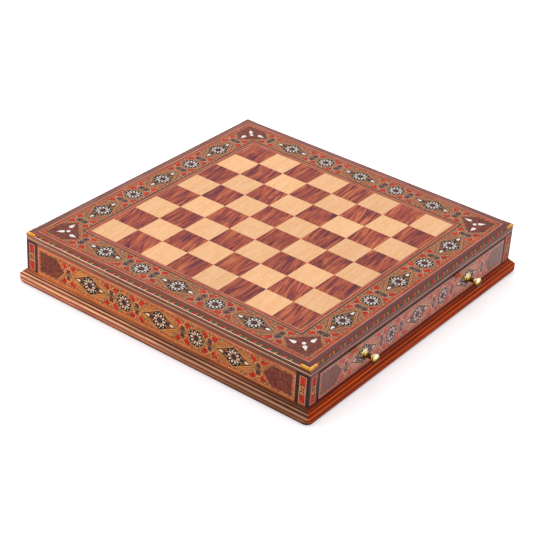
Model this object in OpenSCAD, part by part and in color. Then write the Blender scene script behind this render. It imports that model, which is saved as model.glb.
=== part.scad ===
// Chess box with drawers.
// A square board with a marquetry border is the lid of a shallow case on a reeded plinth.
// One drawer slides out at the front and one at the back, each on two brass knobs.
// Millimetres, +Z up. The origin is the middle of the underside.

/* [Board] */
// Side of one playing square
square_size = 38; // [34:1:42]
// Thickness of the board that closes the case
board_t = 8; // [7:0.5:12]
// Thickness of every veneer and inlay
veneer_t = 1.2; // [1:0.1:2]
// Width of the solid edging round the board
edging_w = 9; // [7:0.2:14]

/* [Border lines] */
// Brown wood left between two lines
line_gap = 0.6; // [0.4:0.1:1]
// Width of a cream line
cream_w = 1; // [0.6:0.1:1.6]
// Width of a red line
red_w = 1.8; // [1.2:0.1:2.4]
// Width of the dark band inside the mosaic
dark_w = 2.4; // [1.6:0.2:4]
// Width of a band of mosaic
mosaic_w = 2.5; // [2:0.1:3.2]
// Width of the red line round the panels on the walls and drawers
panel_red_w = 1.3; // [1:0.1:1.8]
// Wood left between the lines of those panels
panel_gap = 0.3; // [0.2:0.05:0.5]

/* [Motifs] */
// Playing square that the sizes of the motifs are given for; they grow with the squares
motif_square = 38; // [34:1:42]
// Width of the field of motifs on the board
motif_w = 26.4; // [25:0.2:32]
// Diameter of a rosette
rosette_d = 21; // [18:0.5:23]
// Pearl petals in a rosette
petal_count = 10; // [8:1:12]
// Depth of the ring that the petals lie in
petal_t = 0.5; // [0.3:0.1:0.8]
// Width of a pearl petal
petal_w = 2.3; // [1.6:0.1:2.6]
// Half the width of a cross at its waist
cross_waist = 5.2; // [4.6:0.1:6.5]
// Width of a cross's mosaic arms
arm_w = 2.6; // [2:0.1:3]
// Run of an arm along the border for each millimetre that it rises
arm_run = 0.87; // [0.8:0.01:0.95]
// Half the gap between a cross's red pieces along the mosaic
red_top = 4.2; // [3.4:0.2:5]
// Half the gap between a cross's red pieces where they come nearest
red_near = 1.3; // [0.8:0.1:2]
// Ground left between a rosette and the arms beside it
rosette_gap = 0.1; // [0.1:0.1:0.6]
// Distance from the middle of a cross to the point of a medallion
medallion_gap = 9.5; // [8:0.5:11]
// Ground left between a block's point and the cross beside it
block_gap = 1.5; // [0.5:0.5:3]
// Length of a block on the walls and drawers, from its foot to its point
block_len = 38; // [32:1:44]
// Radius of the round end of a medallion's pearl drop
drop_r = 2; // [1.4:0.1:2.4]
// Length of a medallion's pearl drop
drop_len = 7; // [6:0.5:9]
// Radius of the round end of a corner block's pearl drop
corner_drop_r = 2.6; // [2:0.1:3]
// Length of a corner block's pearl drop
corner_drop_len = 10; // [8:0.5:11]

/* [Case] */
// Height of the walls between the plinth and the board
wall_h = 41; // [40:1:56]
// Thickness of a side wall with its veneer
wall_t = 16.5; // [14:0.5:20]
// Height of the rail over a drawer
rail_h = 4.3; // [3:0.1:6]
// Depth of the rail over a drawer
rail_d = 16; // [13:1:24]
// Thickness of the partition between the drawers
partition_t = 8; // [6:1:12]
// Thickness of the base panel
base_t = 6; // [4:0.5:9]
// Width of the strips that keep a pulled drawer level
kicker_w = 10; // [8:1:14]
// Width of the inlaid strip at each end of a wall
strip_w = 9.2; // [8:0.2:11]
// Length of a red piece in an inlaid strip
strip_red_h = 11.5; // [9:0.5:13]

/* [Plinth] */
// Height of the plinth
plinth_h = 17; // [14:0.5:24]
// How far the plinth stands out past the walls
plinth_out = 9.2; // [7:0.2:12]
// Width of the ledge that the base panel lies on
ledge_w = 7.5; // [5:0.5:12]
// Radius of the plinth's corners, seen from above
corner_r = 9.2; // [6:0.2:10]

/* [Drawers] */
// Thickness of a drawer's front with its veneer
front_t = 12; // [10:0.5:16]
// Thickness of a drawer's sides and back
side_t = 8; // [6:0.5:10]
// Thickness of a drawer's bottom
bottom_t = 3; // [2:0.5:5]
// Thickness of the felt lining
felt_t = 1; // [0.5:0.5:3]
// Gap over a drawer's front
top_gap = 1.2; // [0.6:0.1:2]
// Gap at each end of a drawer's front
end_gap = 1; // [0.5:0.1:2]
// Gap under a drawer's front
foot_gap = 0.8; // [0.5:0.1:1.5]
// Running clearance of a drawer on the base and under the kickers
run_gap = 0.3; // [0.2:0.1:0.8]
// Gap between a drawer's back and the partition
back_gap = 0.8; // [0.5:0.1:3]
// Wood left under the groove that holds a drawer's bottom
groove_foot = 1; // [1:0.2:2]
// How far a drawer's sides stay below the top of its front
side_drop = 2; // [1:0.5:5]

/* [Knobs and corners] */
// Diameter of a knob's head
knob_d = 12; // [10:0.2:16]
// Diameter of a knob's foot
knob_foot_d = 13; // [10:0.2:18]
// Diameter of a knob's neck
neck_d = 5.6; // [5:0.2:8]
// How far a knob stands out
knob_len = 19; // [16:0.5:26]
// Diameter of the screw that holds a knob
screw_d = 3.8; // [3:0.1:4.2]
// How much wider the screw's hole in the drawer's front is
screw_gap = 0.4; // [0.2:0.1:0.8]
// Width of the rope banding on the board's top edge
rope_w = 2.8; // [2:0.1:4]
// Height of the rope banding on the board's side
rope_h = 2; // [1.6:0.1:3]
// Bevel of the board's top edge
bevel = 1.4; // [0.8:0.1:1.6]
// Length of a brass corner's arms
cap_len = 13; // [8:0.5:20]
// Height of a brass corner on the board's side
cap_h = 2.4; // [1.9:0.1:5]
// Thickness of a brass corner
cap_t = 0.4; // [0.3:0.1:0.8]

/* [Hidden] */
$fn = 48;
eps = 0.01;
over = 1;
glue_gap = 0.05;
drop_wall = 0.4;

// Levels
wall_z = plinth_h;
board_z = wall_z + wall_h;
top_z = board_z + board_t;
inlay_z = top_z - veneer_t;

// Motifs at the size of these squares
motif_scale = square_size / motif_square;
field_w = motif_scale * motif_w;
disc_d = motif_scale * rosette_d;
petal_wide = motif_scale * petal_w;
waist = motif_scale * cross_waist;
arm_wide = motif_scale * arm_w;
red_far = motif_scale * red_top;
red_close = motif_scale * red_near;
disc_gap = motif_scale * rosette_gap;
diamond_gap = motif_scale * medallion_gap;
point_gap = motif_scale * block_gap;
block_long = motif_scale * block_len;
bead_r = motif_scale * drop_r;
bead_long = motif_scale * drop_len;
corner_bead_r = motif_scale * corner_drop_r;
corner_bead_long = motif_scale * corner_drop_len;

// Half widths of the squares and frames on the board, from the middle out
field_half = 4 * square_size;
cream_1 = field_half + line_gap;
red_1 = cream_1 + cream_w + line_gap;
cream_2 = red_1 + red_w + line_gap;
mosaic_1 = cream_2 + cream_w + dark_w;
motif_1 = mosaic_1 + mosaic_w;
motif_2 = motif_1 + field_w;
red_2 = motif_2 + mosaic_w + line_gap;
cream_3 = red_2 + red_w + line_gap;
edging_in = cream_3 + cream_w + line_gap;
board_half = edging_in + edging_w;
motif_mid = (motif_1 + motif_2) / 2;

// Case
inner_half = board_half - wall_t;
skin_half = board_half - veneer_t;
rail_z = board_z - rail_h;
ledge_half = inner_half + ledge_w;

// Drawer
front_half = inner_half - end_gap;
front_z = wall_z + foot_gap;
front_top = rail_z - top_gap;
front_h = front_top - front_z;
side_z = wall_z + run_gap;
side_top = front_top - side_drop;
kicker_z = side_top + run_gap;
groove = side_t / 2;
bottom_z = side_z + groove_foot;
lining_z = bottom_z + bottom_t;
rear_y = -partition_t / 2 - back_gap;
inside_y = -board_half + front_t;
rebate = (front_t - veneer_t) / 2;

// The panel of marquetry that the walls and drawers share: red line, mosaic, motifs
panel_z = (front_z + front_top) / 2;
panel_mosaic = panel_gap + panel_red_w + panel_gap;
panel_motif = panel_mosaic + mosaic_w;
panel_motif_h = front_h - 2 * panel_motif;
panel_motif_half = front_half - panel_motif;

// Places along a border: medallion, cross, rosette, cross, medallion, cross, block
arm_slope = sqrt(1 + arm_run * arm_run);
arm_along = arm_wide * arm_slope;
red_outer = waist - arm_along - line_gap;
rosette_pitch = waist + (disc_d / 2 + disc_gap) * arm_slope;
corner_point = 2 * motif_1 - motif_mid;
board_pitch = (corner_point - point_gap - waist - 2 * rosette_pitch) / 3;
panel_point = panel_motif_half - block_long;
panel_pitch = (panel_point - point_gap - waist - 2 * rosette_pitch) / 3;

function medallion_places(pitch) = [for (i = [-1, 0, 1]) 2 * i * (pitch + rosette_pitch)];
function plain_places(pitch) = [for (s = [-1, 1]) s * (pitch + rosette_pitch)];
function rosette_places(pitch) = concat(medallion_places(pitch), plain_places(pitch));
function cross_places(pitch) =
    [for (s = [-1, 1], d = [0, 2 * rosette_pitch, 2 * rosette_pitch + 2 * pitch]) s * (pitch + d)];

knob_x = 2 * (panel_pitch + rosette_pitch);
petal_in = disc_d / 2 * 0.35;
petal_out = disc_d / 2 * 0.83;
petal_mid = disc_d / 2 * 0.62;

// Inlaid strips at the ends of the walls, the same distance in from every corner
strip_in = board_half - (wall_t + strip_w) / 2;
strip_margin = 1;
strip_top = front_top + strip_margin;
strip_foot = wall_z + strip_margin;

// ---- Frames of reference for the marquetry ----

// Puts a flat motif on each side of the board; $half_w and $pitch tell it the border's size
module on_board() {
    $half_w = field_w / 2;
    $pitch = board_pitch;
    for (side = [0:3])
        rotate([0, 0, 90 * side])
            translate([0, -motif_mid, inlay_z])
                children();
}

// Puts a flat motif on the outer face that looks towards -Y, turned by angle
module on_face(angle) {
    $half_w = panel_motif_h / 2;
    $pitch = panel_pitch;
    rotate([0, 0, angle])
        translate([0, -skin_half, panel_z])
            rotate([90, 0, 0])
                children();
}

module on_case() {
    on_board() children();
    on_face(-90) children();
    on_face(90) children();
}

module inlay() {
    linear_extrude(veneer_t) children();
}

module along(places) {
    for (u = places)
        translate([u, 0])
            children();
}

module frame_2d(inner, width) {
    difference() {
        square(2 * (inner + width), center = true);
        square(2 * inner, center = true);
    }
}

module panel_frame_2d(inset, width) {
    difference() {
        square([2 * (front_half - inset), front_h - 2 * inset], center = true);
        square([2 * (front_half - inset - width), front_h - 2 * (inset + width)], center = true);
    }
}

// ---- Motifs, drawn flat ----

// One red piece of a cross; the other three are its mirror images
module red_piece_2d() {
    near_v = $half_w - (red_far - red_close);
    step = (arm_run * near_v + red_outer - red_close) / (1 + arm_run);
    polygon([
        [arm_run * $half_w + red_outer, $half_w],
        [red_far, $half_w],
        [red_close, near_v],
        [red_close + step, near_v - step]
    ]);
}

module cross_reds_2d() {
    for (u = [0, 1], v = [0, 1])
        mirror([u, 0])
            mirror([0, v])
                red_piece_2d();
}

// The two mosaic chevrons that meet at a cross's waist
module cross_arms_2d() {
    reach = arm_run * $half_w + waist;
    for (u = [0, 1])
        mirror([u, 0])
            polygon([
                [waist, 0],
                [reach, $half_w],
                [reach - arm_along, $half_w],
                [waist - arm_along, 0],
                [reach - arm_along, -$half_w],
                [reach, -$half_w]
            ]);
}

// A drop with its round end at the origin and its point towards +X
module drop_2d(r, length) {
    tip = length - r;
    lean = acos(r / tip);
    circle(r = r);
    polygon([
        [tip, 0],
        [r * cos(lean), r * sin(lean)],
        [0, 0],
        [r * cos(lean), -r * sin(lean)]
    ]);
}

module medallion_drops_2d() {
    place = $pitch - diamond_gap - bead_long - drop_wall;
    for (u = [0, 1])
        mirror([u, 0])
            translate([place, 0])
                drop_2d(bead_r, bead_long);
}

module medallion_outline_2d() {
    half_l = $pitch - diamond_gap;
    half_h = $half_w - line_gap;
    polygon([[half_l, 0], [0, half_h], [-half_l, 0], [0, -half_h]]);
}

module rosette_seat_2d() {
    circle(d = disc_d + 2 * glue_gap);
}

module medallion_2d() {
    difference() {
        medallion_outline_2d();
        rosette_seat_2d();
        medallion_drops_2d();
    }
}

module petal_2d() {
    polygon([[petal_in, 0], [petal_mid, petal_wide / 2], [petal_out, 0], [petal_mid, -petal_wide / 2]]);
}

// Block at a corner of the board, in the quarter where x and y are both negative
module corner_block_2d() {
    polygon([
        [-motif_2, -motif_2],
        [-motif_2, -motif_1],
        [-motif_mid, -corner_point],
        [-corner_point, -motif_mid],
        [-motif_1, -motif_2]
    ]);
}

module corner_pearls_2d() {
    middle = motif_1 + field_w * 0.32;
    spread = field_w * 0.18;
    translate([-middle, -middle]) {
        circle(r = corner_bead_r * 0.9);
        translate([-spread, -spread])
            rotate(225)
                drop_2d(corner_bead_r, corner_bead_long);
        translate([-spread, 2 * spread])
            rotate(90)
                drop_2d(corner_bead_r, corner_bead_long);
        translate([2 * spread, -spread])
            drop_2d(corner_bead_r, corner_bead_long);
    }
}

// The two blocks at the ends of a panel on a wall or drawer
module end_blocks_2d() {
    for (u = [0, 1])
        mirror([u, 0])
            polygon([
                [panel_motif_half, $half_w],
                [panel_point + arm_run * $half_w, $half_w],
                [panel_point, 0],
                [panel_point + arm_run * $half_w, -$half_w],
                [panel_motif_half, -$half_w]
            ]);
}

// Everything that is let into the ground of one border
module motif_cuts_2d() {
    along(cross_places($pitch)) {
        cross_reds_2d();
        cross_arms_2d();
    }
    along(medallion_places($pitch)) medallion_outline_2d();
    along(rosette_places($pitch)) rosette_seat_2d();
}

module rosette_disc(bore) {
    difference() {
        cylinder(d = disc_d, h = veneer_t);
        translate([0, 0, veneer_t - petal_t])
            difference() {
                cylinder(r = petal_out, h = petal_t + eps);
                translate([0, 0, -eps])
                    cylinder(r = petal_in, h = petal_t + 3 * eps);
            }
        if (bore > 0)
            translate([0, 0, -eps])
                cylinder(d = bore, h = veneer_t + 2 * eps);
    }
}

module petals() {
    translate([0, 0, veneer_t - petal_t])
        linear_extrude(petal_t)
            for (i = [0:petal_count - 1])
                rotate(360 * i / petal_count)
                    petal_2d();
}

// ---- The inlaid strip at each end of a wall, in the frame of on_face ----

// Its three pieces stand on each other: red, mosaic, red
module strip_box_2d(low, high, inset) {
    for (u = [0, 1])
        mirror([u, 0])
            translate([strip_in + inset, low - panel_z])
                square([strip_w - 2 * inset, high - low]);
}

module strip_reds_2d() {
    strip_box_2d(strip_foot + cream_w, strip_foot + cream_w + strip_red_h, cream_w);
    strip_box_2d(strip_top - cream_w - strip_red_h, strip_top - cream_w, cream_w);
}

module strip_mosaic_2d() {
    strip_box_2d(
        strip_foot + cream_w + strip_red_h + line_gap,
        strip_top - cream_w - strip_red_h - line_gap,
        cream_w
    );
}

module strip_cream_2d() {
    difference() {
        strip_box_2d(strip_foot, strip_top, 0);
        strip_reds_2d();
        strip_mosaic_2d();
    }
}

module strip_outline_2d() {
    strip_box_2d(strip_foot, strip_top, 0);
}

// The strips of all four faces: those on the veneers and those on the stile facings
module on_stiles() {
    for (angle = [0, 90, 180, 270])
        on_face(angle)
            children();
}

// ---- Plinth ----

reed_widths = [2.1, 2.2, 3.4, 4.2];
reed_total = reed_widths[0] + reed_widths[1] + reed_widths[2] + reed_widths[3];
reed_swell = 62;
nose_r = plinth_out * 0.42;
nose = [plinth_out - nose_r, -plinth_h * 0.73];
slope_end = [plinth_out - nose_r * 0.42, nose[1] + nose_r * 0.84];

// Each reed bulges between two points of a slope that runs from the wall's foot to the nose
function widths_before(i) = i == 0 ? 0 : reed_widths[i - 1] + widths_before(i - 1);
function reed_chord(i) = slope_end * reed_widths[i] / reed_total;
function reed_r(i) = norm(reed_chord(i)) / 2 / sin(reed_swell);
function reed_inward(i) = [reed_chord(i)[1], -reed_chord(i)[0]] / norm(reed_chord(i));
function reed_centre(i) =
    slope_end * widths_before(i) / reed_total + reed_chord(i) / 2
    + reed_inward(i) * reed_r(i) * cos(reed_swell);

// The moulding's section: x runs outwards from the wall's face, y down from the wall's foot
module plinth_section_2d() {
    back = inner_half - board_half;
    base_back = ledge_half - board_half;
    intersection() {
        union() {
            polygon([
                [back, -plinth_h],
                [plinth_out - nose_r * 0.6, -plinth_h],
                nose + nose_r * [0.7, -0.5],
                reed_centre(3),
                reed_centre(2),
                reed_centre(1),
                reed_centre(0),
                [reed_centre(0)[0], 0],
                [base_back, 0],
                [base_back, -base_t],
                [back, -base_t]
            ]);
            for (i = [0:3]) translate(reed_centre(i)) circle(r = reed_r(i));
            translate(nose) circle(r = nose_r);
        }
        translate([back, -plinth_h]) square([plinth_out - back, plinth_h]);
    }
}

// Half of the turned shape that a corner keeps: upright down to the nose, then the nose itself
module corner_section_2d() {
    intersection() {
        translate([corner_r - plinth_out, 0]) {
            plinth_section_2d();
            translate([plinth_out - corner_r, nose[1]]) square([corner_r, -nose[1]]);
        }
        translate([0, -plinth_h]) square([corner_r, plinth_h]);
    }
}

module rounded_corners() {
    axis = board_half + plinth_out - corner_r;
    reach = board_half + plinth_out + over;
    translate([-axis, -reach, 0]) cube([2 * axis, 2 * reach, plinth_h]);
    translate([-reach, -axis, 0]) cube([2 * reach, 2 * axis, plinth_h]);
    for (x = [-1, 1], y = [-1, 1])
        translate([x * axis, y * axis, plinth_h])
            rotate_extrude()
                corner_section_2d();
}

// A length of section that lies along the -Y side, mitred at both ends
module mitred_run(half, reach) {
    intersection() {
        translate([-reach, -half, 0])
            rotate([90, 0, 90])
                linear_extrude(2 * reach)
                    mirror([1, 0])
                        children();
        translate([0, 0, -plinth_h])
            linear_extrude(top_z + 2 * plinth_h)
                polygon([[0, 0], [-reach, -reach], [reach, -reach]]);
    }
}

module plinth_length(angle) {
    reach = board_half + plinth_out;
    color("#8A3614")
        rotate([0, 0, angle])
            intersection() {
                translate([0, 0, plinth_h])
                    mitred_run(board_half, reach + eps)
                        plinth_section_2d();
                rounded_corners();
            }
}

module base_panel() {
    color("#B98A58")
        translate([-ledge_half, -ledge_half, plinth_h - base_t])
            cube([2 * ledge_half, 2 * ledge_half, base_t]);
}

// ---- Case ----

module side_wall(angle) {
    color("#6B4630")
        rotate([0, 0, angle])
            translate([-skin_half, -skin_half, wall_z])
                cube([2 * skin_half, wall_t - veneer_t, wall_h]);
}

// The wall's outer face stops under the cream line that runs round the board's foot
module wall_skin_2d(half) {
    translate([-half, wall_z - panel_z])
        square([2 * half, wall_h - cream_w]);
}

module wall_veneers() {
    color("#8C5A3A")
        for (angle = [-90, 90])
            on_face(angle)
                inlay()
                    difference() {
                        wall_skin_2d(board_half);
                        strip_outline_2d();
                        panel_frame_2d(panel_gap, panel_red_w);
                        panel_frame_2d(panel_mosaic, mosaic_w);
                        motif_cuts_2d();
                        end_blocks_2d();
                    }
}

module stile_facings() {
    color("#5A3A34")
        for (angle = [0, 180])
            on_face(angle)
                inlay()
                    difference() {
                        wall_skin_2d(skin_half);
                        wall_skin_2d(inner_half);
                        strip_outline_2d();
                    }
}

module drawer_rail(angle) {
    color("#6B4A48")
        rotate([0, 0, angle])
            difference() {
                translate([-inner_half, -board_half, rail_z])
                    cube([2 * inner_half, rail_d, rail_h]);
                translate([-inner_half - over, -board_half - over, board_z - cream_w])
                    cube([2 * (inner_half + over), veneer_t + over, cream_w + over]);
            }
}

module centre_partition() {
    color("#B98A58")
        translate([-inner_half, -partition_t / 2, wall_z])
            cube([2 * inner_half, partition_t, wall_h]);
}

module drawer_kickers() {
    length = board_half - rail_d - partition_t / 2;
    color("#B98A58")
        for (x = [0, 1], y = [0, 1])
            mirror([x, 0, 0])
                mirror([0, y, 0])
                    translate([inner_half - kicker_w, partition_t / 2, kicker_z])
                        cube([kicker_w, length, board_z - kicker_z]);
}

// ---- Board ----

module board_core() {
    color("#B98A58")
        translate([-edging_in, -edging_in, board_z])
            cube([2 * edging_in, 2 * edging_in, board_t - veneer_t]);
}

module edging_section_2d() {
    difference() {
        translate([-edging_w, -board_t]) square([edging_w, board_t]);
        translate([-rope_w, -rope_h]) square([rope_w + over, rope_h + over]);
    }
}

module edging_length(angle) {
    color("#5A3732")
        rotate([0, 0, angle])
            translate([0, 0, top_z])
                mitred_run(board_half, board_half)
                    edging_section_2d();
}

module rope_section_2d() {
    polygon([[-rope_w, -rope_h], [-rope_w, 0], [-bevel, 0], [0, -bevel], [0, -rope_h]]);
}

module rope_banding() {
    color("#B8452A")
        for (side = [0:3])
            rotate([0, 0, 90 * side])
                translate([0, 0, top_z])
                    mitred_run(board_half, board_half)
                        rope_section_2d();
}

// Bent sheet over the bevelled edge
module cap_section_2d() {
    lip = 0.6;
    fold = cap_t * tan(22.5);
    polygon([
        [-bevel - lip, 0],
        [-bevel - lip, cap_t],
        [-bevel + fold, cap_t],
        [cap_t, -bevel + fold],
        [cap_t, -cap_h],
        [0, -cap_h],
        [0, -bevel],
        [-bevel, 0]
    ]);
}

module corner_caps() {
    reach = board_half + cap_t;
    color("#D9B24A")
        intersection() {
            for (side = [0:3])
                rotate([0, 0, 90 * side])
                    translate([0, 0, top_z])
                        mitred_run(board_half, reach)
                            cap_section_2d();
            for (corner = [0:3])
                rotate([0, 0, 90 * corner])
                    translate([-reach, -reach, top_z - cap_h])
                        cube([cap_len + cap_t, cap_len + cap_t, cap_h + cap_t]);
        }
}

// Squares of one colour; parity 0 holds the square at the near left corner
module squares(parity) {
    for (i = [0:7], j = [0:7])
        if ((i + j) % 2 == parity)
            translate([i * square_size - field_half, j * square_size - field_half, inlay_z])
                cube([square_size, square_size, veneer_t]);
}

module dark_squares() {
    color("#8E4634") squares(0);
}

module light_squares() {
    color("#F2C48A") squares(1);
}

module border_ground() {
    color("#8C5A3A")
        translate([0, 0, inlay_z])
            inlay()
                difference() {
                    frame_2d(field_half, edging_in - field_half);
                    frame_2d(cream_1, cream_w);
                    frame_2d(red_1, red_w);
                    frame_2d(cream_2, cream_w);
                    frame_2d(mosaic_1, mosaic_w);
                    frame_2d(motif_2, mosaic_w);
                    frame_2d(red_2, red_w);
                    frame_2d(cream_3, cream_w);
                    for (side = [0:3])
                        rotate(90 * side)
                            corner_block_2d();
                    $half_w = field_w / 2;
                    $pitch = board_pitch;
                    for (side = [0:3])
                        rotate(90 * side)
                            translate([0, -motif_mid])
                                motif_cuts_2d();
                }
}

// Lines on the board, the line under the board's edge, and the strips' borders
module cream_lines() {
    color("#D9C29A") {
        translate([0, 0, inlay_z])
            inlay() {
                frame_2d(cream_1, cream_w);
                frame_2d(cream_2, cream_w);
                frame_2d(cream_3, cream_w);
            }
        translate([0, 0, board_z - cream_w])
            linear_extrude(cream_w)
                frame_2d(skin_half, veneer_t);
        on_stiles() inlay() strip_cream_2d();
    }
}

module mosaic_bands() {
    color("#7A8A5A") {
        translate([0, 0, inlay_z])
            inlay() {
                frame_2d(mosaic_1, mosaic_w);
                frame_2d(motif_2, mosaic_w);
            }
        on_case() inlay() along(cross_places($pitch)) cross_arms_2d();
        for (angle = [-90, 90])
            on_face(angle)
                inlay()
                    panel_frame_2d(panel_mosaic, mosaic_w);
        on_stiles() inlay() strip_mosaic_2d();
    }
}

module walnut_blocks() {
    color("#5C3B35") {
        translate([0, 0, inlay_z])
            inlay()
                for (side = [0:3])
                    rotate(90 * side)
                        difference() {
                            corner_block_2d();
                            corner_pearls_2d();
                        }
        for (angle = [-90, 90]) on_face(angle) inlay() end_blocks_2d();
    }
}

module medallions() {
    color("#4A2E28") on_case() inlay() along(medallion_places($pitch)) medallion_2d();
}

module rosette_discs() {
    color("#241E22") on_case() along(rosette_places($pitch)) rosette_disc(0);
}

module pearl_inlays() {
    color("#F5E9DC") {
        on_case() {
            along(rosette_places($pitch)) petals();
            inlay() along(medallion_places($pitch)) medallion_drops_2d();
        }
        translate([0, 0, inlay_z])
            inlay()
                for (side = [0:3])
                    rotate(90 * side)
                        corner_pearls_2d();
    }
}

module red_inlays() {
    color("#C8321F") {
        translate([0, 0, inlay_z])
            inlay() {
                frame_2d(red_1, red_w);
                frame_2d(red_2, red_w);
            }
        on_case() inlay() along(cross_places($pitch)) cross_reds_2d();
        for (angle = [-90, 90])
            on_face(angle)
                inlay()
                    panel_frame_2d(panel_gap, panel_red_w);
        on_stiles() inlay() strip_reds_2d();
    }
}

// ---- Drawer, drawn for the front and turned about Z for the back ----

module at_knobs() {
    for (x = [-knob_x, knob_x])
        translate([x, -board_half, panel_z])
            rotate([90, 0, 0])
                children();
}

module drawer_face() {
    thick = front_t - veneer_t;
    color("#8A5A3C")
        difference() {
            translate([-front_half, -skin_half, front_z])
                cube([2 * front_half, thick, front_h]);
            for (x = [0, 1])
                mirror([x, 0, 0])
                    translate([front_half - side_t, inside_y - rebate, front_z - over])
                        cube([side_t + over, rebate + over, side_top - front_z + over]);
            translate([-front_half + groove, inside_y - groove, bottom_z])
                cube([2 * (front_half - groove), groove + over, bottom_t]);
            at_knobs()
                translate([0, 0, -front_t - over])
                    cylinder(d = screw_d + screw_gap, h = front_t + 2 * over);
        }
}

// Grooved for the bottom; the left side is drawn and the right side mirrors it
module drawer_side(right) {
    length = rear_y - inside_y + rebate;
    color("#C79A66")
        mirror([right, 0, 0])
            difference() {
                translate([-front_half, inside_y - rebate, side_z])
                    cube([side_t, length, side_top - side_z]);
                translate([-front_half + groove, inside_y - rebate - over, bottom_z])
                    cube([groove + over, length + 2 * over, bottom_t]);
            }
}

module drawer_rear() {
    color("#C79A66")
        translate([-front_half + side_t, rear_y - side_t, lining_z])
            cube([2 * (front_half - side_t), side_t, side_top - lining_z]);
}

module drawer_bottom() {
    color("#D0AE7C")
        translate([-front_half + groove, inside_y - groove, bottom_z])
            cube([2 * (front_half - groove), rear_y - inside_y + groove, bottom_t]);
}

module drawer_lining() {
    color("#6E1F2B")
        translate([-front_half + side_t, inside_y, lining_z])
            cube([2 * (front_half - side_t), rear_y - side_t - inside_y, felt_t]);
}

// A turned disc with a rounded edge
module disc_2d(r, low, high) {
    edge = (high - low) / 2;
    translate([0, low]) square([r - edge, high - low]);
    translate([r - edge, low + edge]) circle(r = edge);
}

// Half of a knob's section: x is the radius, y runs out from the drawer's face
module knob_section_2d() {
    neck_r = neck_d / 2;
    head_r = knob_d / 2;
    dome_r = head_r * 1.13;
    rim_h = head_r * 0.4;
    foot_h = 1.8;
    step_h = 1.3;
    step_r = knob_foot_d * 0.33;
    flare_h = 2.2;
    collar_r = head_r * 0.82;
    collar_h = 1.5;
    head_y = knob_len - head_r * 0.8;
    groove_h = 0.8;
    groove_r = head_r * 0.62;
    collar_y = head_y - groove_h - collar_h;
    disc_2d(knob_foot_d / 2, 0, foot_h);
    disc_2d(step_r, foot_h, foot_h + step_h);
    square([neck_r, head_y]);
    polygon([
        [0, foot_h + step_h],
        [step_r - step_h / 2, foot_h + step_h],
        [neck_r, foot_h + step_h + flare_h],
        [neck_r, collar_y - flare_h],
        [collar_r - collar_h / 2, collar_y],
        [0, collar_y]
    ]);
    disc_2d(collar_r, collar_y, collar_y + collar_h);
    translate([0, collar_y + collar_h]) square([groove_r, groove_h]);
    disc_2d(head_r, head_y, head_y + rim_h);
    intersection() {
        translate([0, knob_len - dome_r]) circle(r = dome_r);
        translate([0, head_y + rim_h / 2]) square([head_r, knob_len]);
    }
}

// Turned knob with a blind hole for its screw
module drawer_knobs() {
    color("#E2BE58")
        at_knobs()
            difference() {
                rotate_extrude() knob_section_2d();
                translate([0, 0, -over])
                    cylinder(d = screw_d + 2 * glue_gap, h = knob_len * 0.45 + over);
            }
}

// Pan-headed screws driven from inside the drawer
module drawer_screws() {
    head_h = 2.2;
    color("#C9B27A")
        at_knobs() {
            translate([0, 0, -front_t])
                cylinder(d = screw_d, h = front_t + knob_len * 0.4);
            translate([0, 0, -front_t - head_h])
                cylinder(d = 2 * screw_d, h = head_h);
        }
}

module drawer_veneer() {
    color("#94604A")
        on_face(0)
            inlay()
                difference() {
                    square([2 * front_half, front_h], center = true);
                    panel_frame_2d(panel_gap, panel_red_w);
                    panel_frame_2d(panel_mosaic, mosaic_w);
                    motif_cuts_2d();
                    end_blocks_2d();
                }
}

module drawer_blocks() {
    color("#5C3B45") on_face(0) inlay() end_blocks_2d();
}

module drawer_medallions() {
    color("#4A2E38") on_face(0) inlay() along(medallion_places($pitch)) medallion_2d();
}

module drawer_rosettes() {
    color("#241E22")
        on_face(0) {
            along(concat([0], plain_places($pitch))) rosette_disc(0);
            along([-knob_x, knob_x]) rosette_disc(screw_d + screw_gap);
        }
}

module drawer_pearl() {
    color("#F0E2E0")
        on_face(0) {
            along(rosette_places($pitch)) petals();
            inlay() along(medallion_places($pitch)) medallion_drops_2d();
        }
}

module drawer_red() {
    color("#C23A34")
        on_face(0)
            inlay() {
                panel_frame_2d(panel_gap, panel_red_w);
                along(cross_places($pitch)) cross_reds_2d();
            }
}

module drawer_mosaic() {
    color("#7A8070")
        on_face(0)
            inlay() {
                panel_frame_2d(panel_mosaic, mosaic_w);
                along(cross_places($pitch)) cross_arms_2d();
            }
}

module back() {
    rotate([0, 0, 180]) children();
}

plinth_length(0);  // plinth_front
plinth_length(180);  // plinth_back
plinth_length(-90);  // plinth_left
plinth_length(90);  // plinth_right
base_panel();
side_wall(-90);  // wall_left
side_wall(90);  // wall_right
wall_veneers();
stile_facings();
drawer_rail(0);  // rail_front
drawer_rail(180);  // rail_back
centre_partition();
drawer_kickers();
board_core();
edging_length(0);  // edging_front
edging_length(180);  // edging_back
edging_length(-90);  // edging_left
edging_length(90);  // edging_right
rope_banding();
corner_caps();
light_squares();
dark_squares();
border_ground();
cream_lines();
mosaic_bands();
walnut_blocks();
medallions();
rosette_discs();
pearl_inlays();
red_inlays();
drawer_face();  // front_drawer_face
drawer_side(0);  // front_drawer_left_side
drawer_side(1);  // front_drawer_right_side
drawer_rear();  // front_drawer_rear
drawer_bottom();  // front_drawer_bottom
drawer_lining();  // front_drawer_lining
drawer_knobs();  // front_drawer_knobs
drawer_screws();  // front_drawer_screws
drawer_veneer();  // front_drawer_veneer
drawer_blocks();  // front_drawer_blocks
drawer_medallions();  // front_drawer_medallions
drawer_rosettes();  // front_drawer_rosettes
drawer_pearl();  // front_drawer_pearl
drawer_red();  // front_drawer_red
drawer_mosaic();  // front_drawer_mosaic
back() drawer_face();  // back_drawer_face
back() drawer_side(0);  // back_drawer_left_side
back() drawer_side(1);  // back_drawer_right_side
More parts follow.
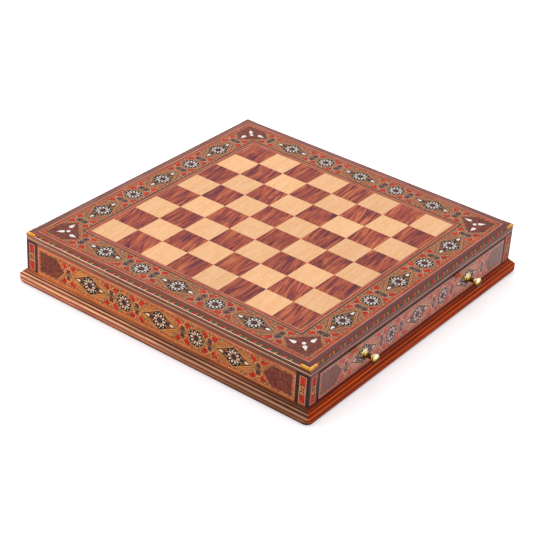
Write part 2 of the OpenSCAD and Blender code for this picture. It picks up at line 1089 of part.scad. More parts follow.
back() drawer_rear();  // back_drawer_rear
back() drawer_bottom();  // back_drawer_bottom
back() drawer_lining();  // back_drawer_lining
back() drawer_knobs();  // back_drawer_knobs
back() drawer_screws();  // back_drawer_screws
back() drawer_veneer();  // back_drawer_veneer
back() drawer_blocks();  // back_drawer_blocks
back() drawer_medallions();  // back_drawer_medallions
back() drawer_rosettes();  // back_drawer_rosettes
back() drawer_pearl();  // back_drawer_pearl
back() drawer_red();  // back_drawer_red
back() drawer_mosaic();  // back_drawer_mosaic
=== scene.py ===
import math
import random
from functools import partial

import bmesh
import bpy
from mathutils import Matrix, Vector


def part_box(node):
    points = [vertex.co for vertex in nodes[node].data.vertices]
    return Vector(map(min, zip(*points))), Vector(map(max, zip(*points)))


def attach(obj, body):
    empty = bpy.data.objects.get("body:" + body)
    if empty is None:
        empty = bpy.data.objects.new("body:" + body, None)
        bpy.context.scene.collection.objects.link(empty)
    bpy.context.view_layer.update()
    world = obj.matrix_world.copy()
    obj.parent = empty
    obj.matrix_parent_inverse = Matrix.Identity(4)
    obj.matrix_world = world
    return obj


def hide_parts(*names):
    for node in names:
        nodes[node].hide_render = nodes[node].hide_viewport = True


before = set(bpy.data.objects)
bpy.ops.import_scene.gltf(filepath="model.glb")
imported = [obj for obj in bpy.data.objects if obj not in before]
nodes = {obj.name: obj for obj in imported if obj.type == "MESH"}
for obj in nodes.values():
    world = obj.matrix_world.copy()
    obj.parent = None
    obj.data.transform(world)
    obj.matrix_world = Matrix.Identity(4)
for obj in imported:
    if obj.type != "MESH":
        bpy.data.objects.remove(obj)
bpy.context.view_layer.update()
scene = bpy.context.scene
mm = 0.001
# Heights and distances from the middle that several pieces share, in millimetres
boardTop, faceOut, panelMiddle, borderMiddle = 66.0, 205.0, 35.15, 175.7
quarterTurns = [(1, 0), (0, 1), (-1, 0), (0, -1)]  # cosine and sine
print("stage: frame loaded,", len(nodes), "nodes")


def linear(hexColour):
    parts = [int(hexColour[i:i + 2], 16) / 255 for i in (1, 3, 5)]
    return tuple(p / 12.92 if p <= 0.04045 else ((p + 0.055) / 1.055) ** 2.4 for p in parts) + (1.0,)


def addNode(tree, kind, inputs=None, **settings):
    node = tree.nodes.new(kind)
    for name, value in settings.items():
        setattr(node, name, value)
    for key, value in (inputs or {}).items():
        if isinstance(value, bpy.types.Node):  # a node stands for its first output in use
            value = next(output for output in value.outputs if output.enabled)
        if isinstance(value, bpy.types.NodeSocket):
            tree.links.new(value, node.inputs[key])
        else:
            node.inputs[key].default_value = value
    return node


def fillRamp(node, stops, interpolation="LINEAR"):
    ramp = node.color_ramp
    ramp.interpolation = interpolation
    while len(ramp.elements) < len(stops):
        ramp.elements.new(0.5)
    for element, (place, colour) in zip(ramp.elements, stops):
        element.position = place
        element.color = linear(colour)
    return node


def makeMaterial(name, settings, sockets):
    material = bpy.data.materials.new(name)
    material.use_nodes = True
    tree = material.node_tree
    tree.nodes.clear()
    look = sockets(partial(addNode, tree), settings)
    shader = addNode(tree, "ShaderNodeBsdfPrincipled", {**settings["finish"], **look})
    addNode(tree, "ShaderNodeOutputMaterial", {"Surface": shader})
    return material


def addObject(name, data):
    made = bpy.data.objects.new(name, data)
    scene.collection.objects.link(made)
    return made


def closeWork(work, name):
    mesh = bpy.data.meshes.new(name)
    work.to_mesh(mesh)
    work.free()
    return mesh


# Camera
cameraSettings = {
    "azimuth": -53.82,
    "elevation": 31.36,
    "roll": 3.49,
    "aim": (-0.0760, -0.0467, 0.066),
    "distance": 1.785,
    "lens": 106.54,
}


def makeCamera(settings):
    a, e, r = (math.radians(settings[key]) for key in ("azimuth", "elevation", "roll"))
    back = Vector((math.sin(a) * math.cos(e), -math.cos(a) * math.cos(e), math.sin(e)))
    right = Vector((math.cos(a), math.sin(a), 0))
    up = back.cross(right)
    turnedRight = right * math.cos(r) + up * math.sin(r)
    turnedUp = up * math.cos(r) - right * math.sin(r)
    data = bpy.data.cameras.new("camera")
    data.lens, data.sensor_width = settings["lens"], 36
    camera = addObject("camera", data)
    place = Matrix((turnedRight, turnedUp, back)).transposed().to_4x4()
    place.translation = Vector(settings["aim"]) + back * settings["distance"]
    camera.matrix_world = place
    scene.camera = camera


makeCamera(cameraSettings)
print("stage: camera")

# Light and floor
studioSettings = {
    "skyStrength": 0.58,
    "lamps": [  # name, place, aim, size, watts
        ("overhead", (0.45, 0.5, 1.4), (0, 0, 0), 1.3, 7.6),
        ("leftFill", (-1.3, 0.9, 0.5), (0, 0, 0.03), 1.1, 7.6),
        ("rightFill", (0.3, -1.9, 0.8), (0, 0, 0.03), 1.5, 5.0),
    ],
    "floorHalf": 6.0,
    "floorColours": [(0.3, "#F6F3F8"), (0.7, "#FBFAFC")],
    "floorLift": 0.42,
    # Matt painted board: white, with a soft contact shadow
    "finish": {"Roughness": 1.0, "Specular IOR Level": 0.0, "Emission Color": (1, 1, 1, 1)},
}


def floorSockets(add, settings):
    place = add("ShaderNodeTexCoord").outputs["Object"]
    mottle = add("ShaderNodeTexNoise", {"Vector": place, "Scale": 2.0})
    colour = fillRamp(add("ShaderNodeValToRGB", {"Fac": mottle}), settings["floorColours"])
    path = add("ShaderNodeLightPath")
    lift = add("ShaderNodeMath", {0: path.outputs["Is Camera Ray"], 1: settings["floorLift"]},
               operation="MULTIPLY")
    return {"Base Color": colour, "Emission Strength": lift}


def makeStudio(settings):
    scene.view_settings.view_transform = "Standard"
    world = bpy.data.worlds.new("studio")
    scene.world = world
    world.use_nodes = True
    tree = world.node_tree
    tree.nodes.clear()
    path = addNode(tree, "ShaderNodeLightPath")
    rays = path.outputs
    seen = addNode(tree, "ShaderNodeMath", {0: rays["Is Camera Ray"], 1: rays["Is Glossy Ray"]},
                   operation="ADD")
    seen = addNode(tree, "ShaderNodeMath", {0: seen, 1: rays["Is Transmission Ray"]},
                   operation="ADD", use_clamp=True)
    strength = addNode(tree, "ShaderNodeMapRange",
                       {"Value": seen, "To Min": settings["skyStrength"], "To Max": 1.0})
    sky = addNode(tree, "ShaderNodeBackground", {"Color": (1, 1, 1, 1), "Strength": strength})
    addNode(tree, "ShaderNodeOutputWorld", {"Surface": sky})
    for name, place, aim, size, watts in settings["lamps"]:
        lamp = bpy.data.lights.new(name, "AREA")
        lamp.shape, lamp.size, lamp.energy = "DISK", size, watts
        holder = addObject(name, lamp)
        holder.location = place
        holder.rotation_mode = "QUATERNION"
        holder.rotation_quaternion = (Vector(aim) - Vector(place)).to_track_quat("-Z", "Y")
    half = settings["floorHalf"]
    mesh = bpy.data.meshes.new("studioFloor")
    corners = [(-half, -half, 0), (half, -half, 0), (half, half, 0), (-half, half, 0)]
    mesh.from_pydata(corners, [], [(0, 1, 2, 3)])
    mesh.materials.append(makeMaterial("paintedFloor", settings, floorSockets))
    floor = addObject("studioFloor", mesh)


makeStudio(studioSettings)
print("stage: light and floor")

# Woods of the case, the squares and the borders. Lengths are in millimetres.
# The sizes of streaks and pores are real ones, except that pores under 0.5 mm
# are drawn 0.5 mm wide so that they show.
lacquer = {"Coat Weight": 0.14, "Coat Roughness": 0.07, "Specular IOR Level": 0.12}
topLacquer = {"Coat Weight": 0.06, "Coat Roughness": 0.12, "Specular IOR Level": 0.08}
deepPolish = {"Coat Weight": 0.05, "Coat Roughness": 0.05, "Specular IOR Level": 0.08}
frontLacquer = {"Coat Weight": 0.9, "Coat Roughness": 0.05, "Specular IOR Level": 0.12}
bareWood = {"Coat Weight": 0.0, "Specular IOR Level": 0.2}
# The reeded moulding, coloured by height as painted light: painted shade at the foot and in the hollows,
# painted highlights on the crests
reedForm = {"foot": 2.7, "crests": (5.2, 8.8, 12.15, 14.75, 16.8), "hollows": (3.7, 6.9, 11.0, 13.7, 15.65),
            "flat": 0.45, "full": 18.0, "share": 0.85}
paintedReedLightAcross = {"foot": "#6A1A03", "hollow": "#7A2006",
               "crests": ("#BC440A", "#DC5810", "#E45C0A", "#A43C12", "#5C1E12")}
paintedReedLightAlong = {"foot": "#6E2A12", "hollow": "#440E04",
              "crests": ("#CE7C52", "#F4B086", "#E8AA80", "#A0644C", "#B25C16")}
# What the pieces of one kind of wood have in common
mahogany = {"pore": (9, 0.5), "at": (0.36, 0.5, 0.62), "rough": (0.22, 0.34), "finish": deepPolish}
walnut = {"streak": (70, 2.2), "pore": (6, 0.5), "at": (0.36, 0.5, 0.62),
          "poreTone": "#5C2E28", "poreShare": 0.45, "rough": (0.24, 0.36), "finish": lacquer}
squares = {"along": "x", "tile": (38, 38, 400), "rough": (0.28, 0.42), "finish": topLacquer}
padauk = {"streak": (50, 1.6), "pore": (5, 0.5), "at": (0.36, 0.5, 0.64), "poreShare": 0.45,
          "rough": (0.24, 0.36)}
dyedHolly = {"along": "ring", "tile": (11, 11, 23), "toneSpread": 0.16, "streak": (14, 2.4), "pore": (5, 0.6),
             "at": (0.36, 0.5, 0.64), "poreTone": "#8E241C", "poreShare": 0.4, "rough": (0.26, 0.38)}
ebony = {"pore": (4, 0.5), "poreShare": 0.4, "finish": topLacquer}
beech = {"streak": (120, 6), "pore": (3, 0.6), "at": (0.3, 0.5, 0.72),
         "colours": ("#B8855A", "#C9976A", "#D8AC7E"),
         "poreTone": "#9A7050", "poreShare": 0.5, "rough": (0.48, 0.62), "finish": bareWood}
# A star in a node's name stands for the front and the back drawer
woodKinds = {
    # Mahogany, French polished: it reflects softly. Its tone by height is painted light, with painted shade
    # in the hollows and painted highlights on the crests, and the side lengths are drawn as a paler, lit copy
    # of the front and back ones.
    # The long boards pale toward the back, where they were cut nearer the sapwood.
    # The side lengths are drawn darker at the front and paler toward the back: painted light.
    "frenchPolishedMahoganyX": {
        **mahogany, "nodes": ["plinth_front", "plinth_back"], "along": "x", "streak": (90, 3),
        "colours": ("#8C2C08", "#A63A0E", "#C04E16"), "reeds": paintedReedLightAcross,
        "poreTone": "#8A300E", "poreShare": 0.35},
    "frenchPolishedMahoganyY": {
        **mahogany, "nodes": ["plinth_left", "plinth_right"], "along": "y", "streak": (70, 3),
        "colours": ("#8C4A30", "#A86444", "#C48058"), "reeds": paintedReedLightAlong, "fade": ("Y", 0.52, 1.42),
        "poreTone": "#A85E38", "poreShare": 0.3},
    # Polished walnut: soft dark lines. The four sides of the edging are drawn as tones of one walnut, as
    # painted light and shade: the front's mauve is a painted reflection, and the left side is drawn darker at
    # the front and paler toward the back.
    "polishedWalnutFront": {
        **walnut, "nodes": ["edging_front"], "along": "x", "colours": ("#6C4040", "#885658", "#A06C6C"),
        "parts": [("Z", 64.5, "#6C2E2C")], "poreTone": "#523236"},
    "polishedWalnutLeft": {
        **walnut, "nodes": ["edging_left"], "along": "y", "colours": ("#7A3A26", "#9A5037", "#B06646"),
        "parts": [("Z", 64.5, "#823822")], "fade": ("Y", 0.44, 1.35)},
    "polishedWalnutBack": {
        **walnut, "nodes": ["edging_back"], "along": "x", "colours": ("#764238", "#90584D", "#A86C5C")},
    "polishedWalnutRight": {
        **walnut, "nodes": ["edging_right"], "along": "y", "colours": ("#783E38", "#92534E", "#AA685C")},
    # Walnut of the rails and of the drawer boards, whose edges show in the gaps round the drawers: near black
    # below 54.8 mm, painted shade of those gaps, browner above.
    "walnutRailAndGapShade": {
        **walnut, "nodes": ["rail_front", "rail_back", "*_drawer_face"], "along": "x",
        "colours": ("#200E0C", "#301814", "#42241E"), "parts": [("Z", 54.8, "#6C3C38")],
        "poreTone": "#40241F"},
    # The stile facings are drawn paler toward the back: painted light.
    "darkWalnutUpright": {
        **walnut, "nodes": ["stile_facings"], "along": "z", "streak": (40, 2.2), "fade": ("Y", 1.0, 1.5),
        "colours": ("#4C2424", "#6A3634", "#844844"), "poreTone": "#3E2422"},
    # Rosewood squares: red brown with purple lines 1 to 4 mm wide, each square from another leaf
    "rosewoodSquares": {
        **squares, "nodes": ["dark_squares"], "toneSpread": 0.09, "slant": (0.02, 0.3),
        "streak": (50, 6.5), "wander": 1.3, "pore": (30, 1.6), "poreEdge": (0.37, 0.45),
        "at": (0.35, 0.42, 0.52, 0.66), "colours": ("#64283A", "#94403A", "#B4543C", "#D4764E"),
        "poreTone": "#542236", "poreShare": 0.8},
    # Maple squares: pale and warm, close straight grain with short flecks
    "mapleSquares": {
        **squares, "nodes": ["light_squares"], "toneSpread": 0.06, "slant": (0.0, 0.12),
        "streak": (60, 5.0), "pore": (9, 1.0), "poreEdge": (0.34, 0.5),
        "at": (0.34, 0.5, 0.66), "colours": ("#FABD88", "#FDC592", "#FFCC9C"),
        "poreTone": "#E6A870", "poreShare": 0.55},
    # Padauk ground of the borders: warm brown, straight lines along each side
    "padaukBorder": {
        **padauk, "nodes": ["border_ground"], "along": "ring", "colours": ("#8E4E3C", "#B06E54", "#CC8C66"),
        "poreTone": "#7E4A3E", "rough": (0.28, 0.42), "finish": topLacquer},
    # The walls: padauk inside the panel, dark walnut above it and beside it. The walls are drawn darker at
    # the front and paler toward the back: painted light.
    "padaukWalls": {
        **padauk, "nodes": ["wall_veneers"], "along": "y", "colours": ("#A0562C", "#CA7438", "#E69A4A"),
        "parts": [("Z", 53.6, "#8A4838"), ("Y", 187.5, "#402220")], "fade": ("Y", 0.75, 1.3),
        "poreTone": "#8A5038", "finish": lacquer},
    # The drawer-front veneer turns near black above 52.1 mm and beyond 185.9 mm from the middle, at its top
    # and end edges: painted shade of the gaps round the drawer.
    "padaukDrawerFronts": {
        **padauk, "nodes": ["*_drawer_veneer"], "along": "x", "colours": ("#BE6456", "#DE8474", "#F2A08C"),
        "parts": [("Z", 52.1, "#2A1612"), ("X", 185.9, "#2A1612")],
        "poreTone": "#946058", "finish": frontLacquer},
    # Boxwood stringing: cream, close and even
    "boxwoodStringing": {
        "nodes": ["cream_lines"], "along": "ring", "streak": (40, 1.2), "pore": (4, 0.5),
        "at": (0.36, 0.5, 0.64), "colours": ("#A8765A", "#BE9070", "#D2AA8C"),
        "poreTone": "#A87C68", "poreShare": 0.4, "rough": (0.26, 0.38), "finish": topLacquer},
    # Holly dyed red: bright, streaked where the dye took unevenly. The line round each panel is paler.
    "dyedRedHolly": {
        **dyedHolly, "nodes": ["red_inlays"], "colours": ("#A42014", "#C62C1A", "#E04C28"),
        "panelLine": "#D07A56", "finish": topLacquer},
    # The red holly of the fronts turns near black above 51.9 mm and beyond 186.2 mm from the middle: painted
    # shade of the gaps round the drawer.
    "dyedRedHollyOnFronts": {
        **dyedHolly, "nodes": ["*_drawer_red"], "colours": ("#AC2014", "#D02C1C", "#EC4C2C"),
        "panelLine": "#C06A54", "parts": [("Z", 51.9, "#381C16"), ("X", 186.2, "#381C16")],
        "finish": frontLacquer},
    # Macassar ebony: near black with faint brown lines, browner in the medallions
    "macassarEbony": {
        **ebony, "nodes": ["rosette_discs", "*_drawer_rosettes"], "along": "x", "streak": (20, 0.9),
        "at": (0.35, 0.55, 0.8), "colours": ("#120E14", "#1C1720", "#302428"),
        "poreTone": "#2A2428", "rough": (0.2, 0.32)},
    "macassarMedallions": {
        **ebony, "nodes": ["medallions", "*_drawer_medallions"], "along": "ring", "streak": (20, 1.2),
        "at": (0.36, 0.5, 0.64), "colours": ("#3E2422", "#5C362C", "#7E4E38"),
        "poreTone": "#403030", "rough": (0.22, 0.34)},
    # Planed beech inside: pale pink brown with short dark flecks
    "planedBeechY": {
        **beech, "along": "y",
        "nodes": ["*_drawer_left_side", "*_drawer_right_side", "wall_left", "wall_right", "base_panel",
                  "drawer_kickers"]},
    "planedBeechX": {**beech, "along": "x", "nodes": ["*_drawer_rear", "centre_partition", "board_core"]},
    # Rotary cut birch ply of the drawer bottoms: broad wandering figure
    "birchPly": {
        "nodes": ["*_drawer_bottom"], "along": "x", "streak": (160, 18), "pore": (8, 0.7),
        "at": (0.3, 0.5, 0.72), "colours": ("#C29A6C", "#D4B083", "#E0C296"),
        "poreTone": "#B08A60", "poreShare": 0.35, "rough": (0.5, 0.65), "finish": bareWood},
}
# The line of red holly round each panel: limits in millimetres from the middle of the box or the panel
panelLine = {"face": 204.0, "end": 190.0, "high": 15.2, "long": 185.6}
# Also the span of the painted light along some boards: darker at -205 mm, paler at 160 mm
grainForm = {"shade": (0.72, 1.28), "fadeFrom": -205.0, "fadeTo": 160.0, "bump": 0.12, "bumpMm": 0.08}


def grainPlace(add, wood):
    coords = add("ShaderNodeTexCoord").outputs["Object"]
    inMm = add("ShaderNodeVectorMath", {0: coords, "Scale": 1000.0}, operation="SCALE")
    place, tone = inMm, None
    if "tile" in wood:
        tile = add("ShaderNodeVectorMath", {0: inMm, 1: wood["tile"]}, operation="DIVIDE")
        tile = add("ShaderNodeVectorMath", {0: tile}, operation="FLOOR")
        pick = add("ShaderNodeTexWhiteNoise", {"Vector": tile}, noise_dimensions="3D")
        shift = add("ShaderNodeVectorMath", {0: pick.outputs["Color"], "Scale": 700.0}, operation="SCALE")
        place = add("ShaderNodeVectorMath", {0: inMm, 1: shift}, operation="ADD")
        tone = pick
    parts = add("ShaderNodeSeparateXYZ", {0: place}).outputs
    if "slant" in wood:  # the leaves were cut a little across the grain, each by another amount
        lean = add("ShaderNodeMapRange", {
            "Value": tone, "To Min": -wood["slant"][0], "To Max": -wood["slant"][1]})
        lean = add("ShaderNodeMath", {0: parts["X"], 1: lean, 2: parts["Y"]}, operation="MULTIPLY_ADD")
        place = add("ShaderNodeCombineXYZ", {"X": parts["X"], "Y": lean, "Z": parts["Z"]})
    turned = {"y": ("Y", "X", "Z"), "ring": ("Y", "X", "Z"), "z": ("Z", "X", "Y")}.get(wood["along"])
    if turned:
        swapped = add("ShaderNodeCombineXYZ", {axis: parts[source] for axis, source in zip("XYZ", turned)})
        if wood["along"] == "ring":  # the grain follows each of the four sides and meets in mitres
            far = add("ShaderNodeVectorMath", {0: inMm}, operation="ABSOLUTE")
            far = add("ShaderNodeSeparateXYZ", {0: far}).outputs
            onSide = add("ShaderNodeMath", {0: far["X"], 1: far["Y"]}, operation="GREATER_THAN")
            swapped = add("ShaderNodeMix", {0: onSide, 4: place, 5: swapped}, data_type="VECTOR")
        place = swapped
    return place, tone


def reedStops(tones):
    stops = [(reedForm["foot"], tones["foot"])] + [(z, tones["hollow"]) for z in reedForm["hollows"]]
    for z, crest in zip(reedForm["crests"], tones["crests"]):
        stops += [(z - reedForm["flat"], crest), (z + reedForm["flat"], crest)]
    return [(z / reedForm["full"], woodTone) for z, woodTone in sorted(stops)]


def woodSockets(add, wood):
    place, tone = grainPlace(add, wood)
    layers = []
    for (long, wide), detail, wander in ((wood["streak"], 3.0, wood.get("wander", 0.5)),
                                         (wood["pore"], 2.0, 0.0)):
        stretched = add("ShaderNodeVectorMath", {0: place, 1: (1 / long, 1 / wide, 1 / wide)},
                        operation="MULTIPLY")
        layers.append(add("ShaderNodeTexNoise", {
            "Vector": stretched, "Scale": 1.0, "Detail": detail, "Roughness": 0.55, "Distortion": wander}))
    streak, pore = layers

    def blend(under, over, mask):
        return add("ShaderNodeMix", {0: mask, 6: under, 7: over}, data_type="RGBA")

    def shaded(tone, level):
        return add("ShaderNodeHueSaturation", {"Color": tone, "Value": level})

    stops = list(zip(wood["at"], wood["colours"]))
    colour = fillRamp(add("ShaderNodeValToRGB", {"Fac": streak}), stops)
    edges = wood.get("poreEdge", (0.36, 0.56))
    share = add("ShaderNodeMapRange", {
        "Value": pore, "From Min": edges[0], "From Max": edges[1],
        "To Min": wood["poreShare"], "To Max": 0.0})
    colour = blend(colour, linear(wood["poreTone"]), share)
    coords = add("ShaderNodeTexCoord").outputs["Object"]
    inMm = add("ShaderNodeVectorMath", {0: coords, "Scale": 1000.0}, operation="SCALE")
    away = add("ShaderNodeVectorMath", {0: inMm}, operation="ABSOLUTE")
    away = add("ShaderNodeSeparateXYZ", {0: away}).outputs
    dark, pale = grainForm["shade"]
    shade = add("ShaderNodeMapRange", {
        "Value": streak, "From Min": 0.4, "From Max": 0.6, "To Min": dark, "To Max": pale})
    if "panelLine" in wood:
        near, far = (add("ShaderNodeMath", {0: away["X"], 1: away["Y"]}, operation=kind)
                     for kind in ("MINIMUM", "MAXIMUM"))
        fromMiddle = add("ShaderNodeMath", {0: away["Z"], 1: panelMiddle}, operation="SUBTRACT")
        fromMiddle = add("ShaderNodeMath", {0: fromMiddle}, operation="ABSOLUTE")
        tests = [add("ShaderNodeMath", {0: value, 1: panelLine[edge]}, operation=kind)
                 for value, edge, kind in (
                     (fromMiddle, "high", "GREATER_THAN"), (near, "long", "GREATER_THAN"),
                     (near, "end", "LESS_THAN"), (far, "face", "GREATER_THAN"))]
        part = add("ShaderNodeMath", {0: tests[0], 1: tests[1]}, operation="MAXIMUM")
        for test in tests[2:]:
            part = add("ShaderNodeMath", {0: part, 1: test}, operation="MULTIPLY")
        colour = blend(colour, shaded(linear(wood["panelLine"]), shade), part)
    for axis, edge, woodTone in wood.get("parts", ()):  # another tone beyond this distance
        past = add("ShaderNodeMath", {0: away[axis], 1: edge}, operation="GREATER_THAN")
        colour = blend(colour, shaded(linear(woodTone), shade), past)
    # painted light on the reeded moulding: a tone by height, with painted shade in the hollows and painted
    # highlights on the crests
    if "reeds" in wood:
        height = add("ShaderNodeMapRange", {"Value": away["Z"], "From Max": reedForm["full"]})
        reedLightRamp = fillRamp(add("ShaderNodeValToRGB", {"Fac": height}), reedStops(wood["reeds"]))
        colour = blend(colour, shaded(reedLightRamp, shade), reedForm["share"])
    if "fade" in wood:  # painted light: darker at one end of the board than at the other
        axis, dark, pale = wood["fade"]
        ends = add("ShaderNodeSeparateXYZ", {0: inMm}).outputs[axis]
        colour = shaded(colour, add("ShaderNodeMapRange", {
            "Value": ends, "From Min": grainForm["fadeFrom"], "From Max": grainForm["fadeTo"],
            "To Min": dark, "To Max": pale}))
    if tone:
        spread = wood["toneSpread"]
        level = add("ShaderNodeMapRange", {"Value": tone, "To Min": 1 - spread, "To Max": 1 + spread})
        colour = shaded(colour, level)
    rough = add("ShaderNodeMapRange", {
        "Value": pore, "From Min": 0.3, "From Max": 0.7,
        "To Min": wood["rough"][1], "To Max": wood["rough"][0]})
    bump = add("ShaderNodeBump", {
        "Height": pore, "Strength": grainForm["bump"], "Distance": grainForm["bumpMm"] * mm})
    return {"Base Color": colour, "Roughness": rough, "Normal": bump}


def dressAll(name, settings, sockets):
    allNodes = [label.replace("*", end) for label in settings["nodes"]
                for end in (("front", "back") if "*" in label else ("",))]
    fronts = [node for node in allNodes if "drawer" in node and settings["finish"] is topLacquer]
    others = [node for node in allNodes if node not in fronts]
    for label, chosen, finish in ((name, others, settings["finish"]),
                                  (name + "OnFronts", fronts, frontLacquer)):
        if chosen:
            material = makeMaterial(label, {**settings, "finish": finish}, sockets)
        for nodeName in chosen:
            nodes[nodeName].data.materials.clear()
            nodes[nodeName].data.materials.append(material)


for woodName, wood in woodKinds.items():
    dressAll(woodName, wood, woodSockets)
print("stage: woods")

# Walnut burr of the corner and end blocks: swirling figure with dark eyes 2 to 4 mm across
burrSettings = {
    "nodes": ["walnut_blocks", "*_drawer_blocks"],
    "swirl": 5.0, "eye": 2.2, "finish": topLacquer,
    "colours": [(0.25, "#421C18"), (0.42, "#672F26"), (0.58, "#803E30"), (0.8, "#96523E")],
}


def burrSockets(add, settings):
    coords = add("ShaderNodeTexCoord").outputs["Object"]
    swirl = add("ShaderNodeTexNoise", {
        "Vector": coords, "Scale": 1000 / settings["swirl"], "Detail": 4.0, "Distortion": 2.2})
    eyes = add("ShaderNodeTexVoronoi", {
        "Vector": coords, "Scale": 1000 / settings["eye"]})
    both = add("ShaderNodeMath", {0: eyes, 1: 0.35, 2: swirl}, operation="MULTIPLY_ADD")
    both = add("ShaderNodeMath", {0: both, 1: 0.14}, operation="SUBTRACT")
    colour = fillRamp(add("ShaderNodeValToRGB", {"Fac": both}), settings["colours"])
    rough = add("ShaderNodeMapRange", {"Value": swirl, "To Min": 0.24, "To Max": 0.4})
    return {"Base Color": colour, "Roughness": rough}


# Mother of pearl: cream to faint pink and green, clouded at about 2 mm, very smooth.
# Below the board's edge it is tinted amber on the case and rosy on the drawer fronts.
pearlSettings = {
    "nodes": ["pearl_inlays"],
    "cloud": 2.4, "finish": {"Coat Weight": 0.4, "Coat Roughness": 0.05, "Specular IOR Level": 0.4},
    "colours": [(0.3, "#EEDCD2"), (0.46, "#F8F0EA"), (0.58, "#FFFAF4"), (0.72, "#E4ECEA"), (0.85, "#F4E4EC")],
    "wallTint": "#FFD9AC", "boardEdge": 60.0,
}
frontPearlSettings = {**pearlSettings, "nodes": ["*_drawer_pearl"], "wallTint": "#FFDEDE"}


def pearlSockets(add, settings):
    coords = add("ShaderNodeTexCoord").outputs["Object"]
    cloud = add("ShaderNodeTexNoise", {
        "Vector": coords, "Scale": 1000 / settings["cloud"], "Detail": 3.0, "Distortion": 1.2})
    colour = fillRamp(add("ShaderNodeValToRGB", {"Fac": cloud}), settings["colours"])
    height = add("ShaderNodeSeparateXYZ", {0: coords}).outputs["Z"]
    onWall = add("ShaderNodeMath", {0: height, 1: settings["boardEdge"] * mm}, operation="LESS_THAN")
    colour = add("ShaderNodeMix", {0: onWall, 6: colour, 7: linear(settings["wallTint"])},
                 data_type="RGBA", blend_type="MULTIPLY")
    rough = add("ShaderNodeMapRange", {"Value": cloud, "To Min": 0.16, "To Max": 0.3})
    return {"Base Color": colour, "Roughness": rough}


# Turned brass: bright toward the top, a painted highlight, and brown in the neck and underneath, painted
# shade
brassSettings = {
    "nodes": ["*_drawer_knobs", "*_drawer_screws"],
    "axis": (105.1, panelMiddle), "low": -3.0, "high": 7.0, "finish": {"Metallic": 1.0},
    "colours": [(0.08, "#3A2206"), (0.28, "#94681A"), (0.44, "#D8AA40"), (0.6, "#F4D888"), (0.8, "#FFF6D2")],
    "tarnish": 4.0, "neck": 4.0, "neckEdge": 1.2, "neckShare": 0.85, "neckTone": "#3C2608",
}
# Sheet brass of the corner caps: rolled, deeper gold, fingered. Darker on its sides and paler on its top:
# painted shade and painted highlight.
capSettings = {
    "nodes": ["corner_caps"], "axis": (0.0, boardTop), "low": -4.0, "high": 4.0, "finish": {"Metallic": 1.0},
    "colours": [(0.3, "#B87A24"), (0.48, "#D89A3C"), (0.6, "#EFC074"), (0.8, "#FFE2A0")],
    "tarnish": 6.0, "neck": 0.0, "neckEdge": 1.2, "neckShare": 0.0, "neckTone": "#6A4614",
}


def brassSockets(add, settings):
    coords = add("ShaderNodeTexCoord").outputs["Object"]
    patch = add("ShaderNodeTexNoise", {
        "Vector": coords, "Scale": 1000 / settings["tarnish"], "Detail": 4.0})
    inMm = add("ShaderNodeVectorMath", {0: coords, "Scale": 1000.0}, operation="SCALE")
    parts = add("ShaderNodeSeparateXYZ", {0: inMm}).outputs
    away = add("ShaderNodeMath", {0: parts["X"]}, operation="ABSOLUTE")
    away = add("ShaderNodeMath", {0: away, 1: settings["axis"][0]}, operation="SUBTRACT")
    rise = add("ShaderNodeMath", {0: parts["Z"], 1: settings["axis"][1]}, operation="SUBTRACT")
    ring = add("ShaderNodeCombineXYZ", {"X": away, "Y": rise})
    ring = add("ShaderNodeVectorMath", {0: ring}, operation="LENGTH")
    # painted highlight and shade: paler higher up, darker lower down
    place = add("ShaderNodeMapRange", {
        "Value": rise, "From Min": settings["low"], "From Max": settings["high"]})
    place = add("ShaderNodeMath", {0: patch, 1: 0.5, 2: place}, operation="MULTIPLY_ADD")
    place = add("ShaderNodeMath", {0: place, 1: 0.25}, operation="SUBTRACT")
    colour = fillRamp(add("ShaderNodeValToRGB", {"Fac": place}), settings["colours"])
    # painted shade within the neck's radius of the axis
    inNeck = add("ShaderNodeMapRange", {
        "Value": ring, "From Min": settings["neck"] - settings["neckEdge"], "From Max": settings["neck"],
        "To Min": settings["neckShare"], "To Max": 0.0})
    colour = add("ShaderNodeMix", {0: inNeck, 6: colour, 7: linear(settings["neckTone"])}, data_type="RGBA")
    rough = add("ShaderNodeMapRange", {"Value": patch, "To Min": 0.26, "To Max": 0.12})
    return {"Base Color": colour, "Roughness": rough}


# The ground of the fine mosaic: peach and salmon slips about 1.2 mm wide, glued side by side
mosaicSettings = {
    "nodes": ["mosaic_bands", "*_drawer_mosaic"],
    "slip": 1.2, "finish": topLacquer,
    "colours": [(0.0, "#C26444"), (0.25, "#D88452"), (0.45, "#C66840"), (0.65, "#E2A068"), (0.85, "#A64C34")],
}


def mosaicSockets(add, settings):
    coords = add("ShaderNodeTexCoord").outputs["Object"]
    inSlips = add("ShaderNodeVectorMath", {0: coords, "Scale": 1000 / settings["slip"]}, operation="SCALE")
    slip = add("ShaderNodeVectorMath", {0: inSlips}, operation="FLOOR")
    pick = add("ShaderNodeTexWhiteNoise", {"Vector": slip}, noise_dimensions="3D")
    colour = fillRamp(add("ShaderNodeValToRGB", {"Fac": pick}), settings["colours"],
                      "CONSTANT")
    rough = add("ShaderNodeMapRange", {"Value": pick, "To Min": 0.28, "To Max": 0.4})
    return {"Base Color": colour, "Roughness": rough}


# Rosewood core under the rope: only its edges show between the slanted slips
ropeGround = {
    "nodes": ["rope_banding"], "along": "ring", "streak": (20, 1.5), "pore": (5, 0.5),
    "at": (0.3, 0.5, 0.75), "colours": ("#3E1A12", "#602E20", "#7E462E"),
    "poreTone": "#3A1810", "poreShare": 0.4, "rough": (0.26, 0.38), "finish": topLacquer}

